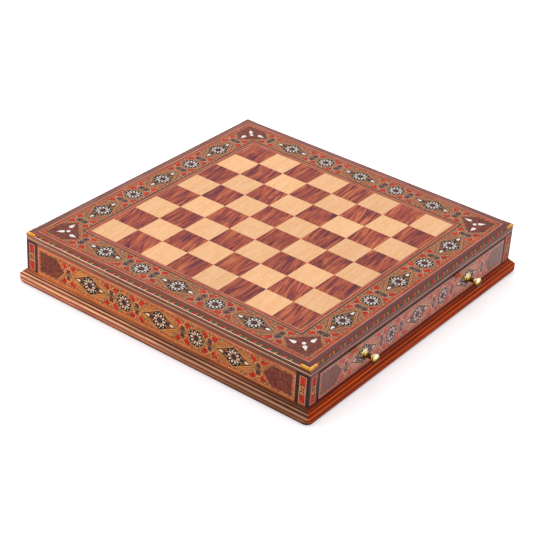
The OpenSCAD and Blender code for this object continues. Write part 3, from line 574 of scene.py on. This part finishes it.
for name, settings, sockets in (
        ("walnutBurr", burrSettings, burrSockets), ("motherOfPearl", pearlSettings, pearlSockets),
        ("rosyMotherOfPearl", frontPearlSettings, pearlSockets),
        ("polishedBrass", brassSettings, brassSockets), ("rolledBrass", capSettings, brassSockets),
        ("mosaicSlips", mosaicSettings, mosaicSockets),
        ("rosewoodCore", ropeGround, woodSockets)):
    dressAll(name, settings, sockets)
print("stage: burr, pearl, brass, mosaic ground")

# Fine slips of dyed wood. Each lies in a cell of a sample sheet: 4 by 4 woods, 4 by 4 pieces of each.
slipWoods = {
    "green": "#2F8C68", "fern": "#44683F", "salmon": "#D46A52", "orange": "#DC742C",
    "cream": "#E0C096", "black": "#1C1A24", "bone": "#FBF0E2", "red": "#C02C1A",
    "maroon": "#74201F", "brown": "#8A4E34", "umber": "#4A2A2A", "tan": "#CC9A66",
    "ochre": "#A8703A", "brick": "#A43A2C", "peach": "#E0A47C", "slate": "#5E6674",
}
slipSettings = {"proud": 0.04, "stagger": 0.004, "sunk": 0.02, "seed": 11, "grain": 2.6, "tint": "#FFFFFF",
                "inset": 0.15, "filled": 0.7, "finish": topLacquer}
frontSlipSettings = {**slipSettings, "tint": "#FFE2E4", "finish": frontLacquer}
wallSlipSettings = {**slipSettings, "tint": "#FFEBD2"}  # the walls' copy is tinted amber
slipOrder = list(slipWoods)
slipPick = random.Random(slipSettings["seed"])


def slipSockets(add, settings):
    sheet = add("ShaderNodeUVMap", uv_map="OFBake")
    parts = add("ShaderNodeVectorMath", {0: sheet, "Scale": 4.0}, operation="SCALE")
    cell = add("ShaderNodeVectorMath", {0: parts}, operation="FLOOR")
    cell = add("ShaderNodeSeparateXYZ", {0: cell}).outputs
    index = add("ShaderNodeMath", {0: cell["Y"], 1: 4.0, 2: cell["X"]}, operation="MULTIPLY_ADD")
    index = add("ShaderNodeMath", {0: index, 1: 0.5}, operation="ADD")
    index = add("ShaderNodeMath", {0: index, 1: 16.0}, operation="DIVIDE")
    colour = fillRamp(add("ShaderNodeValToRGB", {"Fac": index}),
                      [(i / 16, slipWoods[name]) for i, name in enumerate(slipOrder)], "CONSTANT")
    piece = add("ShaderNodeVectorMath", {0: sheet, "Scale": 16.0}, operation="SCALE")
    piece = add("ShaderNodeVectorMath", {0: piece}, operation="FLOOR")
    tone = add("ShaderNodeTexWhiteNoise", {"Vector": piece}, noise_dimensions="2D")
    grain = add("ShaderNodeVectorMath", {0: sheet, 1: (16.0, 16.0 * settings["grain"] * 4, 1.0)},
                operation="MULTIPLY")
    grain = add("ShaderNodeTexNoise", {"Vector": grain, "Scale": 1.0, "Detail": 2.0})
    level = add("ShaderNodeMapRange", {"Value": tone, "To Min": 0.84, "To Max": 1.12})
    level = add("ShaderNodeMath", {0: grain, 1: 0.3, 2: level}, operation="MULTIPLY_ADD")
    level = add("ShaderNodeMath", {0: level, 1: 0.15}, operation="SUBTRACT")
    colour = add("ShaderNodeHueSaturation", {"Color": colour, "Value": level})
    colour = add("ShaderNodeMix", {0: 1.0, 6: colour, 7: linear(settings["tint"])},
                 data_type="RGBA", blend_type="MULTIPLY")
    rough = add("ShaderNodeMapRange", {"Value": grain, "To Min": 0.24, "To Max": 0.4})
    return {"Base Color": colour, "Roughness": rough}


slipMaterial = makeMaterial("dyedVeneerSlips", slipSettings, slipSockets)
frontSlipMaterial = makeMaterial("dyedVeneerSlipsOnFronts", frontSlipSettings, slipSockets)
wallSlipMaterial = makeMaterial("dyedVeneerSlipsOnWalls", wallSlipSettings, slipSockets)


def sampleUv(wood, pick, along, across):
    order = slipOrder.index(wood)
    column = order % 4 * 4 + pick % 4
    row = order // 4 * 4 + pick // 4 % 4
    inset, filled = slipSettings["inset"], slipSettings["filled"]
    return (column + inset + filled * along) / 16, (row + inset + filled * across) / 16


def addSlip(work, outline, wood, layer=1):
    pick = slipPick.randrange(16)
    low = -slipSettings["sunk"]
    high = slipSettings["proud"] * layer + slipSettings["stagger"] * (pick % 8)  # neighbours seldom level
    xs, ys = [p[0] for p in outline], [p[1] for p in outline]
    span = max(max(xs) - min(xs), max(ys) - min(ys), 0.1)
    area = sum(a[0] * b[1] - b[0] * a[1] for a, b in zip(outline, outline[1:] + outline[:1]))
    if area < 0:
        outline = outline[::-1]
    rings = [[work.verts.new((x, y, z)) for x, y in outline] for z in (low, high)]
    count = len(outline)
    faces = [work.faces.new(rings[1]), work.faces.new(rings[0][::-1])]
    for i in range(count):
        j = (i + 1) % count
        faces.append(work.faces.new((rings[0][i], rings[0][j], rings[1][j], rings[1][i])))
    layerUv = work.loops.layers.uv["OFBake"]
    for face in faces:
        for loop in face.loops:
            x, y = loop.vert.co.x, loop.vert.co.y
            loop[layerUv].uv = sampleUv(wood, pick, (x - min(xs)) / span, (y - min(ys)) / span)


def newWork():
    work = bmesh.new()
    work.loops.layers.uv.new("OFBake")
    return work


def addDiamond(work, x, y, halfX, halfY, wood, layer=1, turn=0.0):
    c, s = math.cos(turn), math.sin(turn)
    corners = [(halfX, 0), (0, halfY), (-halfX, 0), (0, -halfY)]
    addSlip(work, [(x + u * c - v * s, y + u * s + v * c) for u, v in corners], wood, layer)


def addLine(work, start, end, wide, wood, layer=1):
    along = (Vector(end) - Vector(start)).normalized()
    side = Vector((-along.y, along.x)) * wide / 2
    a, b = Vector(start), Vector(end)
    addSlip(work, [tuple(p) for p in (a - side, b - side, b + side, a + side)], wood, layer)


def addRay(work, centre, far, turn, halfX, halfY, wood, layer):
    x, y = centre[0] + far * math.cos(turn), centre[1] + far * math.sin(turn)
    addDiamond(work, x, y, halfX, halfY, wood, layer, turn)


# Geometry Nodes trees that lay the slips out
def newTree(name, inputs):
    tree = bpy.data.node_groups.new(name, "GeometryNodeTree")
    tree.interface.new_socket("Geometry", in_out="INPUT", socket_type="NodeSocketGeometry")
    for label, kind in inputs:
        tree.interface.new_socket(label, in_out="INPUT", socket_type=kind)
    tree.interface.new_socket("Geometry", in_out="OUTPUT", socket_type="NodeSocketGeometry")
    return tree, partial(addNode, tree), addNode(tree, "NodeGroupInput").outputs


def endTree(tree, geometry, finish):
    solid = addNode(tree, "GeometryNodeRealizeInstances", {"Geometry": geometry})
    dressed = addNode(tree, "GeometryNodeSetMaterial", {"Geometry": solid, "Material": finish})
    addNode(tree, "NodeGroupOutput", {"Geometry": dressed})
    return tree


def makeBandTree():
    tree, add, given = newTree("slipsAlongLines", [
        ("Pitch", "NodeSocketFloat"), ("Slips", "NodeSocketObject"), ("Finish", "NodeSocketMaterial")])
    line = add("GeometryNodeMeshToCurve", {"Mesh": given["Geometry"]})
    spaced = add("GeometryNodeResampleCurve", {"Curve": line, "Length": given["Pitch"]},
                 mode="LENGTH")
    slips = add("GeometryNodeObjectInfo", {"Object": given["Slips"]})
    tangent = add("GeometryNodeInputTangent")
    turn = add("FunctionNodeAlignRotationToVector", {"Vector": tangent}, axis="X", pivot_axis="Z")
    laid = add("GeometryNodeInstanceOnPoints", {
        "Points": spaced, "Instance": slips.outputs["Geometry"], "Rotation": turn})
    return endTree(tree, laid, given["Finish"])


def makeMotifTree():
    tree, add, given = newTree("motifsAtPlaces", [
        ("Copies", "NodeSocketInt"), ("Motif", "NodeSocketObject"), ("Finish", "NodeSocketMaterial")])
    motif = add("GeometryNodeObjectInfo", {"Object": given["Motif"]})
    copies = add("GeometryNodePoints", {"Count": given["Copies"]})
    index = add("GeometryNodeInputIndex")
    step = add("ShaderNodeMath", {0: math.tau, 1: given["Copies"]}, operation="DIVIDE")
    angle = add("ShaderNodeMath", {0: index, 1: step}, operation="MULTIPLY")
    euler = add("ShaderNodeCombineXYZ", {"Z": angle})
    turn = add("FunctionNodeEulerToRotation", {"Euler": euler})
    ring = add("GeometryNodeInstanceOnPoints", {
        "Points": copies, "Instance": motif.outputs["Geometry"], "Rotation": turn})
    whole = add("GeometryNodeRealizeInstances", {"Geometry": ring})
    places = add("GeometryNodeMeshToPoints", {"Mesh": given["Geometry"]})
    laid = add("GeometryNodeInstanceOnPoints", {
        "Points": places, "Instance": whole})
    return endTree(tree, laid, given["Finish"])


bandTree, motifTree = makeBandTree(), makeMotifTree()


def layOut(tree, points, edges, values):
    guide = bpy.data.meshes.new("guide")
    guide.from_pydata([(*p, 0.0)[:3] for p in points], edges, [])
    holder = addObject("guide", guide)
    modifier = holder.modifiers.new("layout", "NODES")
    modifier.node_group = tree
    sockets = {item.name: item.identifier for item in tree.interface.items_tree if item.in_out == "INPUT"}
    for label, value in {**values, "Finish": slipMaterial}.items():
        modifier[sockets[label]] = value
    graph = bpy.context.evaluated_depsgraph_get()
    mesh = bpy.data.meshes.new_from_object(holder.evaluated_get(graph))
    bpy.data.objects.remove(holder)
    return mesh


def outward(angle, out, up):
    return Matrix.Rotation(math.radians(angle), 4, "Z") @ Matrix.Translation((0, -out, up))


def onFace(angle):
    return outward(angle, faceOut, panelMiddle) @ Matrix.Rotation(math.radians(90), 4, "X")


slipPieces = {}


def collect(pieceName, mesh, places):
    work = slipPieces.setdefault(pieceName, bmesh.new())
    for place in places:
        copy = mesh.copy()
        copy.transform(Matrix.Scale(mm, 4) @ place)
        work.from_mesh(copy)
        bpy.data.meshes.remove(copy)


# Sizes of the borders on the board and of the panels on the walls and drawers
borders = {
    "board": {
        "halfW": 13.2, "pitch": 34.70, "stripes": ["brown", "tan", "brown", "brick", "tan", "brown"],
        "places": {"caseBoard": [outward(90 * side, borderMiddle, boardTop) for side in range(4)]}},
    "panel": {
        "halfW": 12.95, "pitch": 33.30, "stripes": ["tan", "ochre", "tan", "ochre", "orange", "tan"],
        "places": {"caseSides": [onFace(-90), onFace(90)],
                   "frontDrawer": [onFace(0)], "backDrawer": [onFace(180)]}},
}
motifSizes = {
    "rosettePitch": 19.25, "waist": 5.2, "arm": 3.446, "run": 0.87,
    "diamondGap": 9.5, "bandPitch": 14.3, "armPitch": 4.6, "redFar": 4.2, "redNear": 1.3, "redDrop": 2.9,
    "panelFrame": (184.35, 14.2), "boardBands": (161.25, 190.15), "darkBand": (158.6, 159.3, 1.4),
}


def makeBandSlips(unit):
    work = newWork()
    step = unit / 6
    for k, wood in enumerate(("salmon", "red", "green", "tan", "green", "red")):
        x = (k - 3) * step
        half = (1.4, 1.15) if wood == "green" else (0.8, 0.7)
        if k:
            addDiamond(work, x, 0, *half, wood, 2)
        for side, edgeWood in ((-1, "salmon" if k % 2 else "brick"), (1, "brick" if k % 3 else "orange")):
            addSlip(work, [(x + step / 2 - 1.0, side * 1.23), (x + step / 2 + 1.0, side * 1.23),
                           (x + step / 2, side * 0.35)], edgeWood)
    addDiamond(work, -unit / 2, 0, 0.8, 0.7, "salmon", 2)
    return addObject("bandSlips", closeWork(work, "bandSlips"))


def makeArmSlips():
    work = newWork()
    addDiamond(work, 0, 0, 1.3, 1.1, "green", 2)
    addDiamond(work, 2.35, 0, 0.75, 0.6, "peach", 2)
    for x, low, high in ((-1.2, "salmon", "brick"), (1.2, "brick", "orange")):
        addSlip(work, [(x - 0.95, -1.22), (x + 0.95, -1.22), (x, -0.3)], low)
        addSlip(work, [(x + 0.95, 1.22), (x - 0.95, 1.22), (x, 0.3)], high)
    return addObject("armSlips", closeWork(work, "armSlips"))


def makeCrossMotif(halfW):
    m = motifSizes
    work = newWork()
    nearV = halfW - m["redDrop"]
    outer = m["waist"] - m["arm"] - 0.6
    step = (m["run"] * nearV + outer - m["redNear"]) / (1 + m["run"])
    for u in (-1, 1):
        for v in (-1, 1):
            b = (u * (m["redFar"] - 0.35), v * halfW)
            c = (u * (m["redNear"] - 0.35), v * nearV)
            d = (u * (m["redNear"] + step - 0.35), v * (nearV - step - 0.1))
            addLine(work, b, c, 0.6, "cream")
            addLine(work, c, d, 0.6, "cream", 2)
    for v in (-1, 1):
        addDiamond(work, 0, v * (halfW - 1.3), 1.9, 1.3, "tan", 2)
        addDiamond(work, 0, v * (halfW - 1.3), 1.2, 0.8, "umber", 3)
        for k in range(4):  # four dark lobes, paler slips between them
            turn = math.radians(90 * k)
            addRay(work, (0, v * 4.3), 2.0, turn, 1.2, 0.8, "slate", 1)
            addRay(work, (0, v * 4.3), 2.2, math.radians(45 + 90 * k), 2.0, 1.05, "black", 2)
        addDiamond(work, 0, v * 4.3, 0.8, 0.8, "maroon", 3)
    addLine(work, (0, -1.4), (0, 1.4), 1.2, "black", 2)
    for u in (-1, 1):
        addDiamond(work, u * 1.6, 0, 0.7, 0.9, "brick", 1)
        addDiamond(work, u * 2.8, 0, 0.9, 0.8, "green", 2)
    return addObject("crossMotif", closeWork(work, "crossMotif"))


def makeRosetteSector():
    work = newWork()
    half = math.pi / 10
    oval = [(6.5 + 1.85 * math.cos(a), 1.25 * math.sin(a)) for a in (math.tau * i / 10 for i in range(10))]
    addSlip(work, oval, "bone", 3)
    for far, turn, halfX, halfY, wood in ((6.7, half, 1.7, 0.8, "maroon"), (9.3, half, 0.8, 0.9, "bone"),
                                          (4.2, half, 0.65, 0.45, "bone"), (2.9, 0, 1.1, 0.8, "maroon"),
                                          (1.2, half, 0.6, 0.35, "slate")):
        addRay(work, (0, 0), far, turn, halfX, halfY, wood, 2)
    return addObject("rosetteSector", closeWork(work, "rosetteSector"))


def makeMedallionMotif(halfW, pitch, stripes):
    work = newWork()
    halfL, halfH = pitch - motifSizes["diamondGap"], halfW - 0.6
    k = 1 + 0.45 / halfH
    length = math.hypot(halfL, halfH)
    nx, ny, base = halfH / length, halfL / length, halfL * halfH / length
    run, edgeX = motifSizes["run"], pitch - motifSizes["waist"] - 0.3
    for u in (-1, 1):
        for v in (-1, 1):
            for i, wood in enumerate(stripes):  # quarter veneers, their grain along the diamond's edge
                reach = base + 1.1 + 1.15 * i
                y0 = max(0.3, (reach - nx * edgeX) / (ny - nx * run))
                x0 = (reach - ny * y0) / nx
                y1 = halfW - 0.35
                x1 = max(0.5, (reach - ny * y1) / nx)
                y1 = min(y1, (reach - nx * x1) / ny)
                if x0 - x1 > 1.5:
                    addLine(work, (u * x0, v * y0), (u * x1, v * y1), 0.5, wood)
            addLine(work, (u * halfL * k, 0), (0, v * halfH * k), 0.6, "tan", 2)
            addSlip(work, [(u * x, v * y) for x, y in (
                (10.9, 1.5), (13.2, 1.6), (14.9, 3.9), (9.8, 6.5), (9.2, 5.5))], "ochre")
            addLine(work, (u * 11.9, v * 1.5), (u * 11.2, v * 5.6), 0.5, "umber", 2)
            addLine(work, (u * 13.0, v * 1.6), (u * 13.0, v * 4.8), 0.45, "maroon", 2)
            shoulder = (u * (halfL - 7.8), v * 2.5)  # dark outline of the drop in the medallion's tip
            addLine(work, (u * (halfL + 0.2), 0), shoulder, 0.8, "umber", 2.8 + 0.2 * v)
            addLine(work, shoulder, (u * (halfL - 9.8), v * 0.8), 0.8, "umber", 3)
        addDiamond(work, u * 13.0, 0, 2.1, 1.5, "black", 2)
        addDiamond(work, u * 13.0, 0, 0.9, 0.6, "slate", 3)
    return addObject("medallionMotif", closeWork(work, "medallionMotif"))


def frameLines(halfX, halfY, pitch):
    points, edges = [], []
    for turn, (reach, off) in enumerate(((halfX, halfY), (halfY, halfX)) * 2):
        step = 2 * reach / max(1, round(2 * reach / pitch))
        c, s = quarterTurns[turn]
        lift = slipSettings["stagger"] * (0.5 - turn % 2)
        points += [(c * x + s * off, s * x - c * off, lift) for x in (-reach + step / 2, reach - step / 2)]
        edges.append((len(points) - 2, len(points) - 1))
    return points, edges


bandSlips = makeBandSlips(motifSizes["bandPitch"])
armSlips = makeArmSlips()
rosetteSector = makeRosetteSector()


def bandRound(halfX, halfY):
    pitch = motifSizes["bandPitch"]
    return layOut(bandTree, *frameLines(halfX, halfY, pitch), {"Pitch": pitch, "Slips": bandSlips})


def borderLayouts(border, crossMotif, medallionMotif):
    m, halfW, pitch = motifSizes, border["halfW"], border["pitch"]
    gap = m["rosettePitch"]
    medallions = [(2 * i * (pitch + gap), 0) for i in (-1, 0, 1)]
    plain = [(s * (pitch + gap), 0) for s in (-1, 1)]
    crosses = [(s * (pitch + d), 0) for s in (-1, 1) for d in (0, 2 * gap, 2 * gap + 2 * pitch)]
    lift = slipSettings["stagger"] / 4
    arms = [(x + u * (m["waist"] - m["arm"] / 2 + m["run"] * y), v * y, u * lift)
            for x, _ in crosses for u in (-1, 1) for v in (-1, 1) for y in (1.0, halfW - 0.6)]
    pairs = [(i, i + 1) for i in range(0, len(arms), 2)]
    return [
        ("Bands", layOut(bandTree, arms, pairs, {"Pitch": m["armPitch"], "Slips": armSlips})),
        ("Motifs", layOut(motifTree, crosses, [], {"Copies": 1, "Motif": crossMotif})),
        ("Motifs", layOut(motifTree, medallions + plain, [], {"Copies": 10, "Motif": rosetteSector})),
        ("Motifs", layOut(motifTree, medallions, [], {"Copies": 1, "Motif": medallionMotif})),
    ]


for borderName, border in borders.items():
    crossMotif = makeCrossMotif(border["halfW"])
    medallionMotif = makeMedallionMotif(border["halfW"], border["pitch"], border["stripes"])
    layouts = borderLayouts(border, crossMotif, medallionMotif)
    if borderName == "panel":
        layouts.append(("Bands", bandRound(*motifSizes["panelFrame"])))
    for part, mesh in layouts:
        for owner, places in border["places"].items():
            collect(owner + part, mesh, places)
    for template in (crossMotif, medallionMotif):
        bpy.data.objects.remove(template)
    print("stage: slips of the", borderName, "borders")

work = newWork()
out, end, wide = motifSizes["darkBand"]
for c, s in quarterTurns:
    addLine(work, *((c * x + s * out, s * x - c * out) for x in (-end, end)), wide, "umber", 2)
flat = [Matrix.Translation((0, 0, boardTop))]
collect("caseBoardBands", closeWork(work, "darkBand"), flat)
for half in motifSizes["boardBands"]:
    collect("caseBoardBands", bandRound(half, half), flat)
for template in (bandSlips, armSlips, rosetteSector):
    bpy.data.objects.remove(template)

# Inlaid strips at the corners, the painted highlight line under the rope, painted highlight and shade lines
# on the lid's edge, and the seam round the lid
stripSettings = {"middle": 196.75, "half": 3.6, "foot": 18.0, "top": 53.5, "cream": 1.0, "red": 11.5}


def makeStripMotif(settings):
    work = newWork()
    low = settings["foot"] + settings["cream"] - panelMiddle
    high = settings["top"] - settings["cream"] - panelMiddle
    wide, middle = settings["half"], (low + high) / 2
    for end, v in ((low + settings["red"], 1), (high - settings["red"], -1)):
        addSlip(work, [(-wide, end), (wide, end), (0, end - v * 2.6)], "umber", 2)
        addSlip(work, [(-1.6, end), (1.6, end), (0, end - v * 1.3)], "tan", 3)
    for k in range(4):
        addRay(work, (0, middle), 2.1, math.radians(45 + 90 * k), 1.7, 0.8, "black", 2)
        turn = math.radians(90 * k)
        addRay(work, (0, middle), 2.2, turn, 1.1, 0.6, "tan", 1)
        x, y = 3.4 * math.cos(turn + 0.78), middle + 4.6 * math.sin(turn + 0.78)
        addDiamond(work, x, y, 0.7, 0.7, "green", 2)
    addDiamond(work, 0, middle, 0.9, 0.9, "orange", 3)
    return addObject("stripMotif", closeWork(work, "stripMotif"))


stripMotif = makeStripMotif(stripSettings)
stripPlaces = [(s * stripSettings["middle"], 0) for s in (-1, 1)]
mesh = layOut(motifTree, stripPlaces, [], {"Copies": 1, "Motif": stripMotif})
collect("caseSidesMotifs", mesh, [onFace(angle) for angle in (0, 90, 180, 270)])
bpy.data.objects.remove(stripMotif)

# Lines on the lid's edge by side: height, width, wood, half length. The 60.4 mm umber line is the seam. On
# the front and back the peach line, and on the left and right the cream line, are painted highlights on the
# edging's lower edge; the umber line just under that cream line is painted shade. The palest, the bone line
# under the rope, is a painted highlight and ends at the brass caps.
edgeSettings = {
    (0, 180): [(60.4, 0.5, "umber", faceOut), (58.2, 0.5, "peach", faceOut)],
    (90, 270): [(60.4, 0.5, "umber", faceOut), (59.15, 0.8, "cream", faceOut), (58.35, 0.6, "umber", faceOut),
                (57.3, 0.6, "brown", faceOut), (64.2, 0.75, "bone", 192.3)],
}


def makeEdgeLines(lines):
    work = newWork()
    for height, wide, wood, long in lines:
        low, high = height - panelMiddle - wide / 2, height - panelMiddle + wide / 2
        addSlip(work, [(-long, low), (long, low), (long, high), (-long, high)], wood)
    return closeWork(work, "edgeLines")


for angles, lines in edgeSettings.items():
    collect("caseEdgeLines", makeEdgeLines(lines), [onFace(angle) for angle in angles])

# Rope banding: slips laid at 45 degrees over the bevelled arris
ropeSettings = {
    "slips": ["fern", "red", "salmon", "fern", "orange"], "share": 0.7,
    "pitch": 19.2, "reach": 191.0, "wide": 2.1, "high": 1.45, "bevel": 1.4, "proud": 0.03, "slant": 1.0,
}


def makeRopeSlips(settings):
    work = newWork()
    uvLayer = work.loops.layers.uv["OFBake"]
    section = [(0, -settings["high"]), (0, -settings["bevel"]), (settings["bevel"], 0), (settings["wide"], 0)]
    normals = [(-1, 0), (-0.92, 0.38), (-0.38, 0.92), (0, 1)]
    lengths = [0.0]
    for a, b in zip(section, section[1:]):
        lengths.append(lengths[-1] + math.dist(a, b))
    step = settings["pitch"] / len(settings["slips"])
    for k, wood in enumerate(settings["slips"]):
        pick = slipPick.randrange(16)
        start = (k - len(settings["slips"]) / 2) * step
        end = start + step * settings["share"]
        rows, spots = [], {}
        for x, depth in ((start, 1), (end, 1), (end, -1), (start, -1)):  # round the slip, from its outer face
            lift = depth * settings["proud"]
            rows.append([work.verts.new((x + far * settings["slant"], y + n[0] * lift, z + n[1] * lift))
                         for (y, z), n, far in zip(section, normals, lengths)])
            spots.update({vert: (far / lengths[-1], float(x == end)) for vert, far in zip(rows[-1], lengths)})
        faces = [work.faces.new((p[i], q[i], q[i + 1], p[i + 1]))
                 for i in range(3) for p, q in zip(rows, rows[1:] + rows[:1])]
        faces += [work.faces.new([row[0] for row in rows[::-1]]), work.faces.new([row[-1] for row in rows])]
        for face in faces:
            for loop in face.loops:
                loop[uvLayer].uv = sampleUv(wood, pick, *spots[loop.vert])
    bmesh.ops.recalc_face_normals(work, faces=work.faces)
    return addObject("ropeSlips", closeWork(work, "ropeSlips"))


ropeSlips = makeRopeSlips(ropeSettings)
mesh = layOut(bandTree, [(-ropeSettings["reach"], 0), (ropeSettings["reach"], 0)], [(0, 1)],
              {"Pitch": ropeSettings["pitch"], "Slips": ropeSlips})
collect("caseRope", mesh, [outward(90 * side, faceOut, boardTop) for side in range(4)])
bpy.data.objects.remove(ropeSlips)

slipBodies = {"case": "case", "front": "front_drawer", "backD": "back_drawer"}
for pieceName, work in slipPieces.items():
    mesh = closeWork(work, pieceName)
    mesh.materials.clear()
    mesh.materials.append(frontSlipMaterial if "Drawer" in pieceName
                          else wallSlipMaterial if "Sides" in pieceName else slipMaterial)
    piece = addObject(pieceName, mesh)
    body = next(body for start, body in slipBodies.items() if pieceName.startswith(start))
    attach(piece, body)
    print("stage:", pieceName, sum(len(p.vertices) - 2 for p in mesh.polygons), "triangles")

# Felt lining of each drawer: a wool sheet laid on the bottom, its nap about 0.4 mm long
feltSettings = {
    "cell": 5.0, "edge": 0.6, "nap": 0.12, "seed": 5, "rounding": (0.55, 0.86, 0.97),
    "fibre": 900.0, "worn": 22.0,
    "colours": [(0.3, "#5E1220"), (0.5, "#7A1C2C"), (0.72, "#8E2A3A")],
    "finish": {"Roughness": 0.95, "Specular IOR Level": 0.1, "Sheen Weight": 0.35, "Sheen Roughness": 0.5},
}


def feltSockets(add, settings):
    coords = add("ShaderNodeTexCoord").outputs["Object"]
    fibre = add("ShaderNodeTexNoise", {
        "Vector": coords, "Scale": settings["fibre"], "Detail": 4.0, "Distortion": 1.5})
    worn = add("ShaderNodeTexNoise", {"Vector": coords, "Scale": settings["worn"], "Detail": 3.0})
    both = add("ShaderNodeMath", {0: fibre, 1: 0.6, 2: worn}, operation="MULTIPLY_ADD")
    both = add("ShaderNodeMath", {0: both, 1: 0.3}, operation="SUBTRACT")
    colour = fillRamp(add("ShaderNodeValToRGB", {"Fac": both}), settings["colours"])
    bump = add("ShaderNodeBump", {"Height": fibre, "Strength": 0.5, "Distance": 0.0003})
    return {"Base Color": colour, "Normal": bump}


def makeFelt(drawer, material, settings):
    low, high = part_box(drawer + "_lining")
    sizeX, sizeY = high[0] - low[0], high[1] - low[1]
    edge = settings["edge"] * mm
    xs, ys = [], []
    for spots, size, start, end in ((xs, sizeX, low[0], high[0]), (ys, sizeY, low[1], high[1])):
        count = max(4, round(size / mm / settings["cell"]))
        spots += [start, start + edge * 0.3]
        spots += [start + edge + (size - 2 * edge) * i / count for i in range(count + 1)]
        spots += [end - edge * 0.3, end]
    lastX, lastY = len(xs) - 1, len(ys) - 1
    nap = random.Random(settings["seed"])
    work = bmesh.new()

    def height(i, j):
        border = min(i, j, lastX - i, lastY - j)
        z = low[2] + (high[2] - low[2]) * settings["rounding"][min(border, 2)]
        return z - (nap.random() * settings["nap"] * mm if border > 2 else 0)

    top = [[work.verts.new((x, y, height(i, j))) for i, x in enumerate(xs)] for j, y in enumerate(ys)]
    under = [[work.verts.new((x, y, low[2])) for x in xs] for y in ys]
    for j in range(lastY):
        for i in range(lastX):
            work.faces.new((top[j][i], top[j][i + 1], top[j + 1][i + 1], top[j + 1][i]))
            work.faces.new((under[j + 1][i], under[j + 1][i + 1], under[j][i + 1], under[j][i]))
    rim = [(0, i) for i in range(lastX)] + [(j, lastX) for j in range(lastY)]
    rim += [(lastY, i) for i in range(lastX, 0, -1)] + [(j, 0) for j in range(lastY, 0, -1)]
    for (j, i), (nextJ, nextI) in zip(rim, rim[1:] + rim[:1]):
        work.faces.new((under[j][i], under[nextJ][nextI], top[nextJ][nextI], top[j][i]))
    for face in work.faces:
        face.smooth = abs(face.normal.z) > 0.5
    mesh = closeWork(work, drawer + "_felt")
    mesh.materials.append(material)
    felt = addObject(drawer + "_felt", mesh)
    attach(felt, drawer)
    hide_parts(drawer + "_lining")


feltMaterial = makeMaterial("pressedWoolFelt", feltSettings, feltSockets)
for drawer in ("front_drawer", "back_drawer"):
    makeFelt(drawer, feltMaterial, feltSettings)
print("stage: felt")
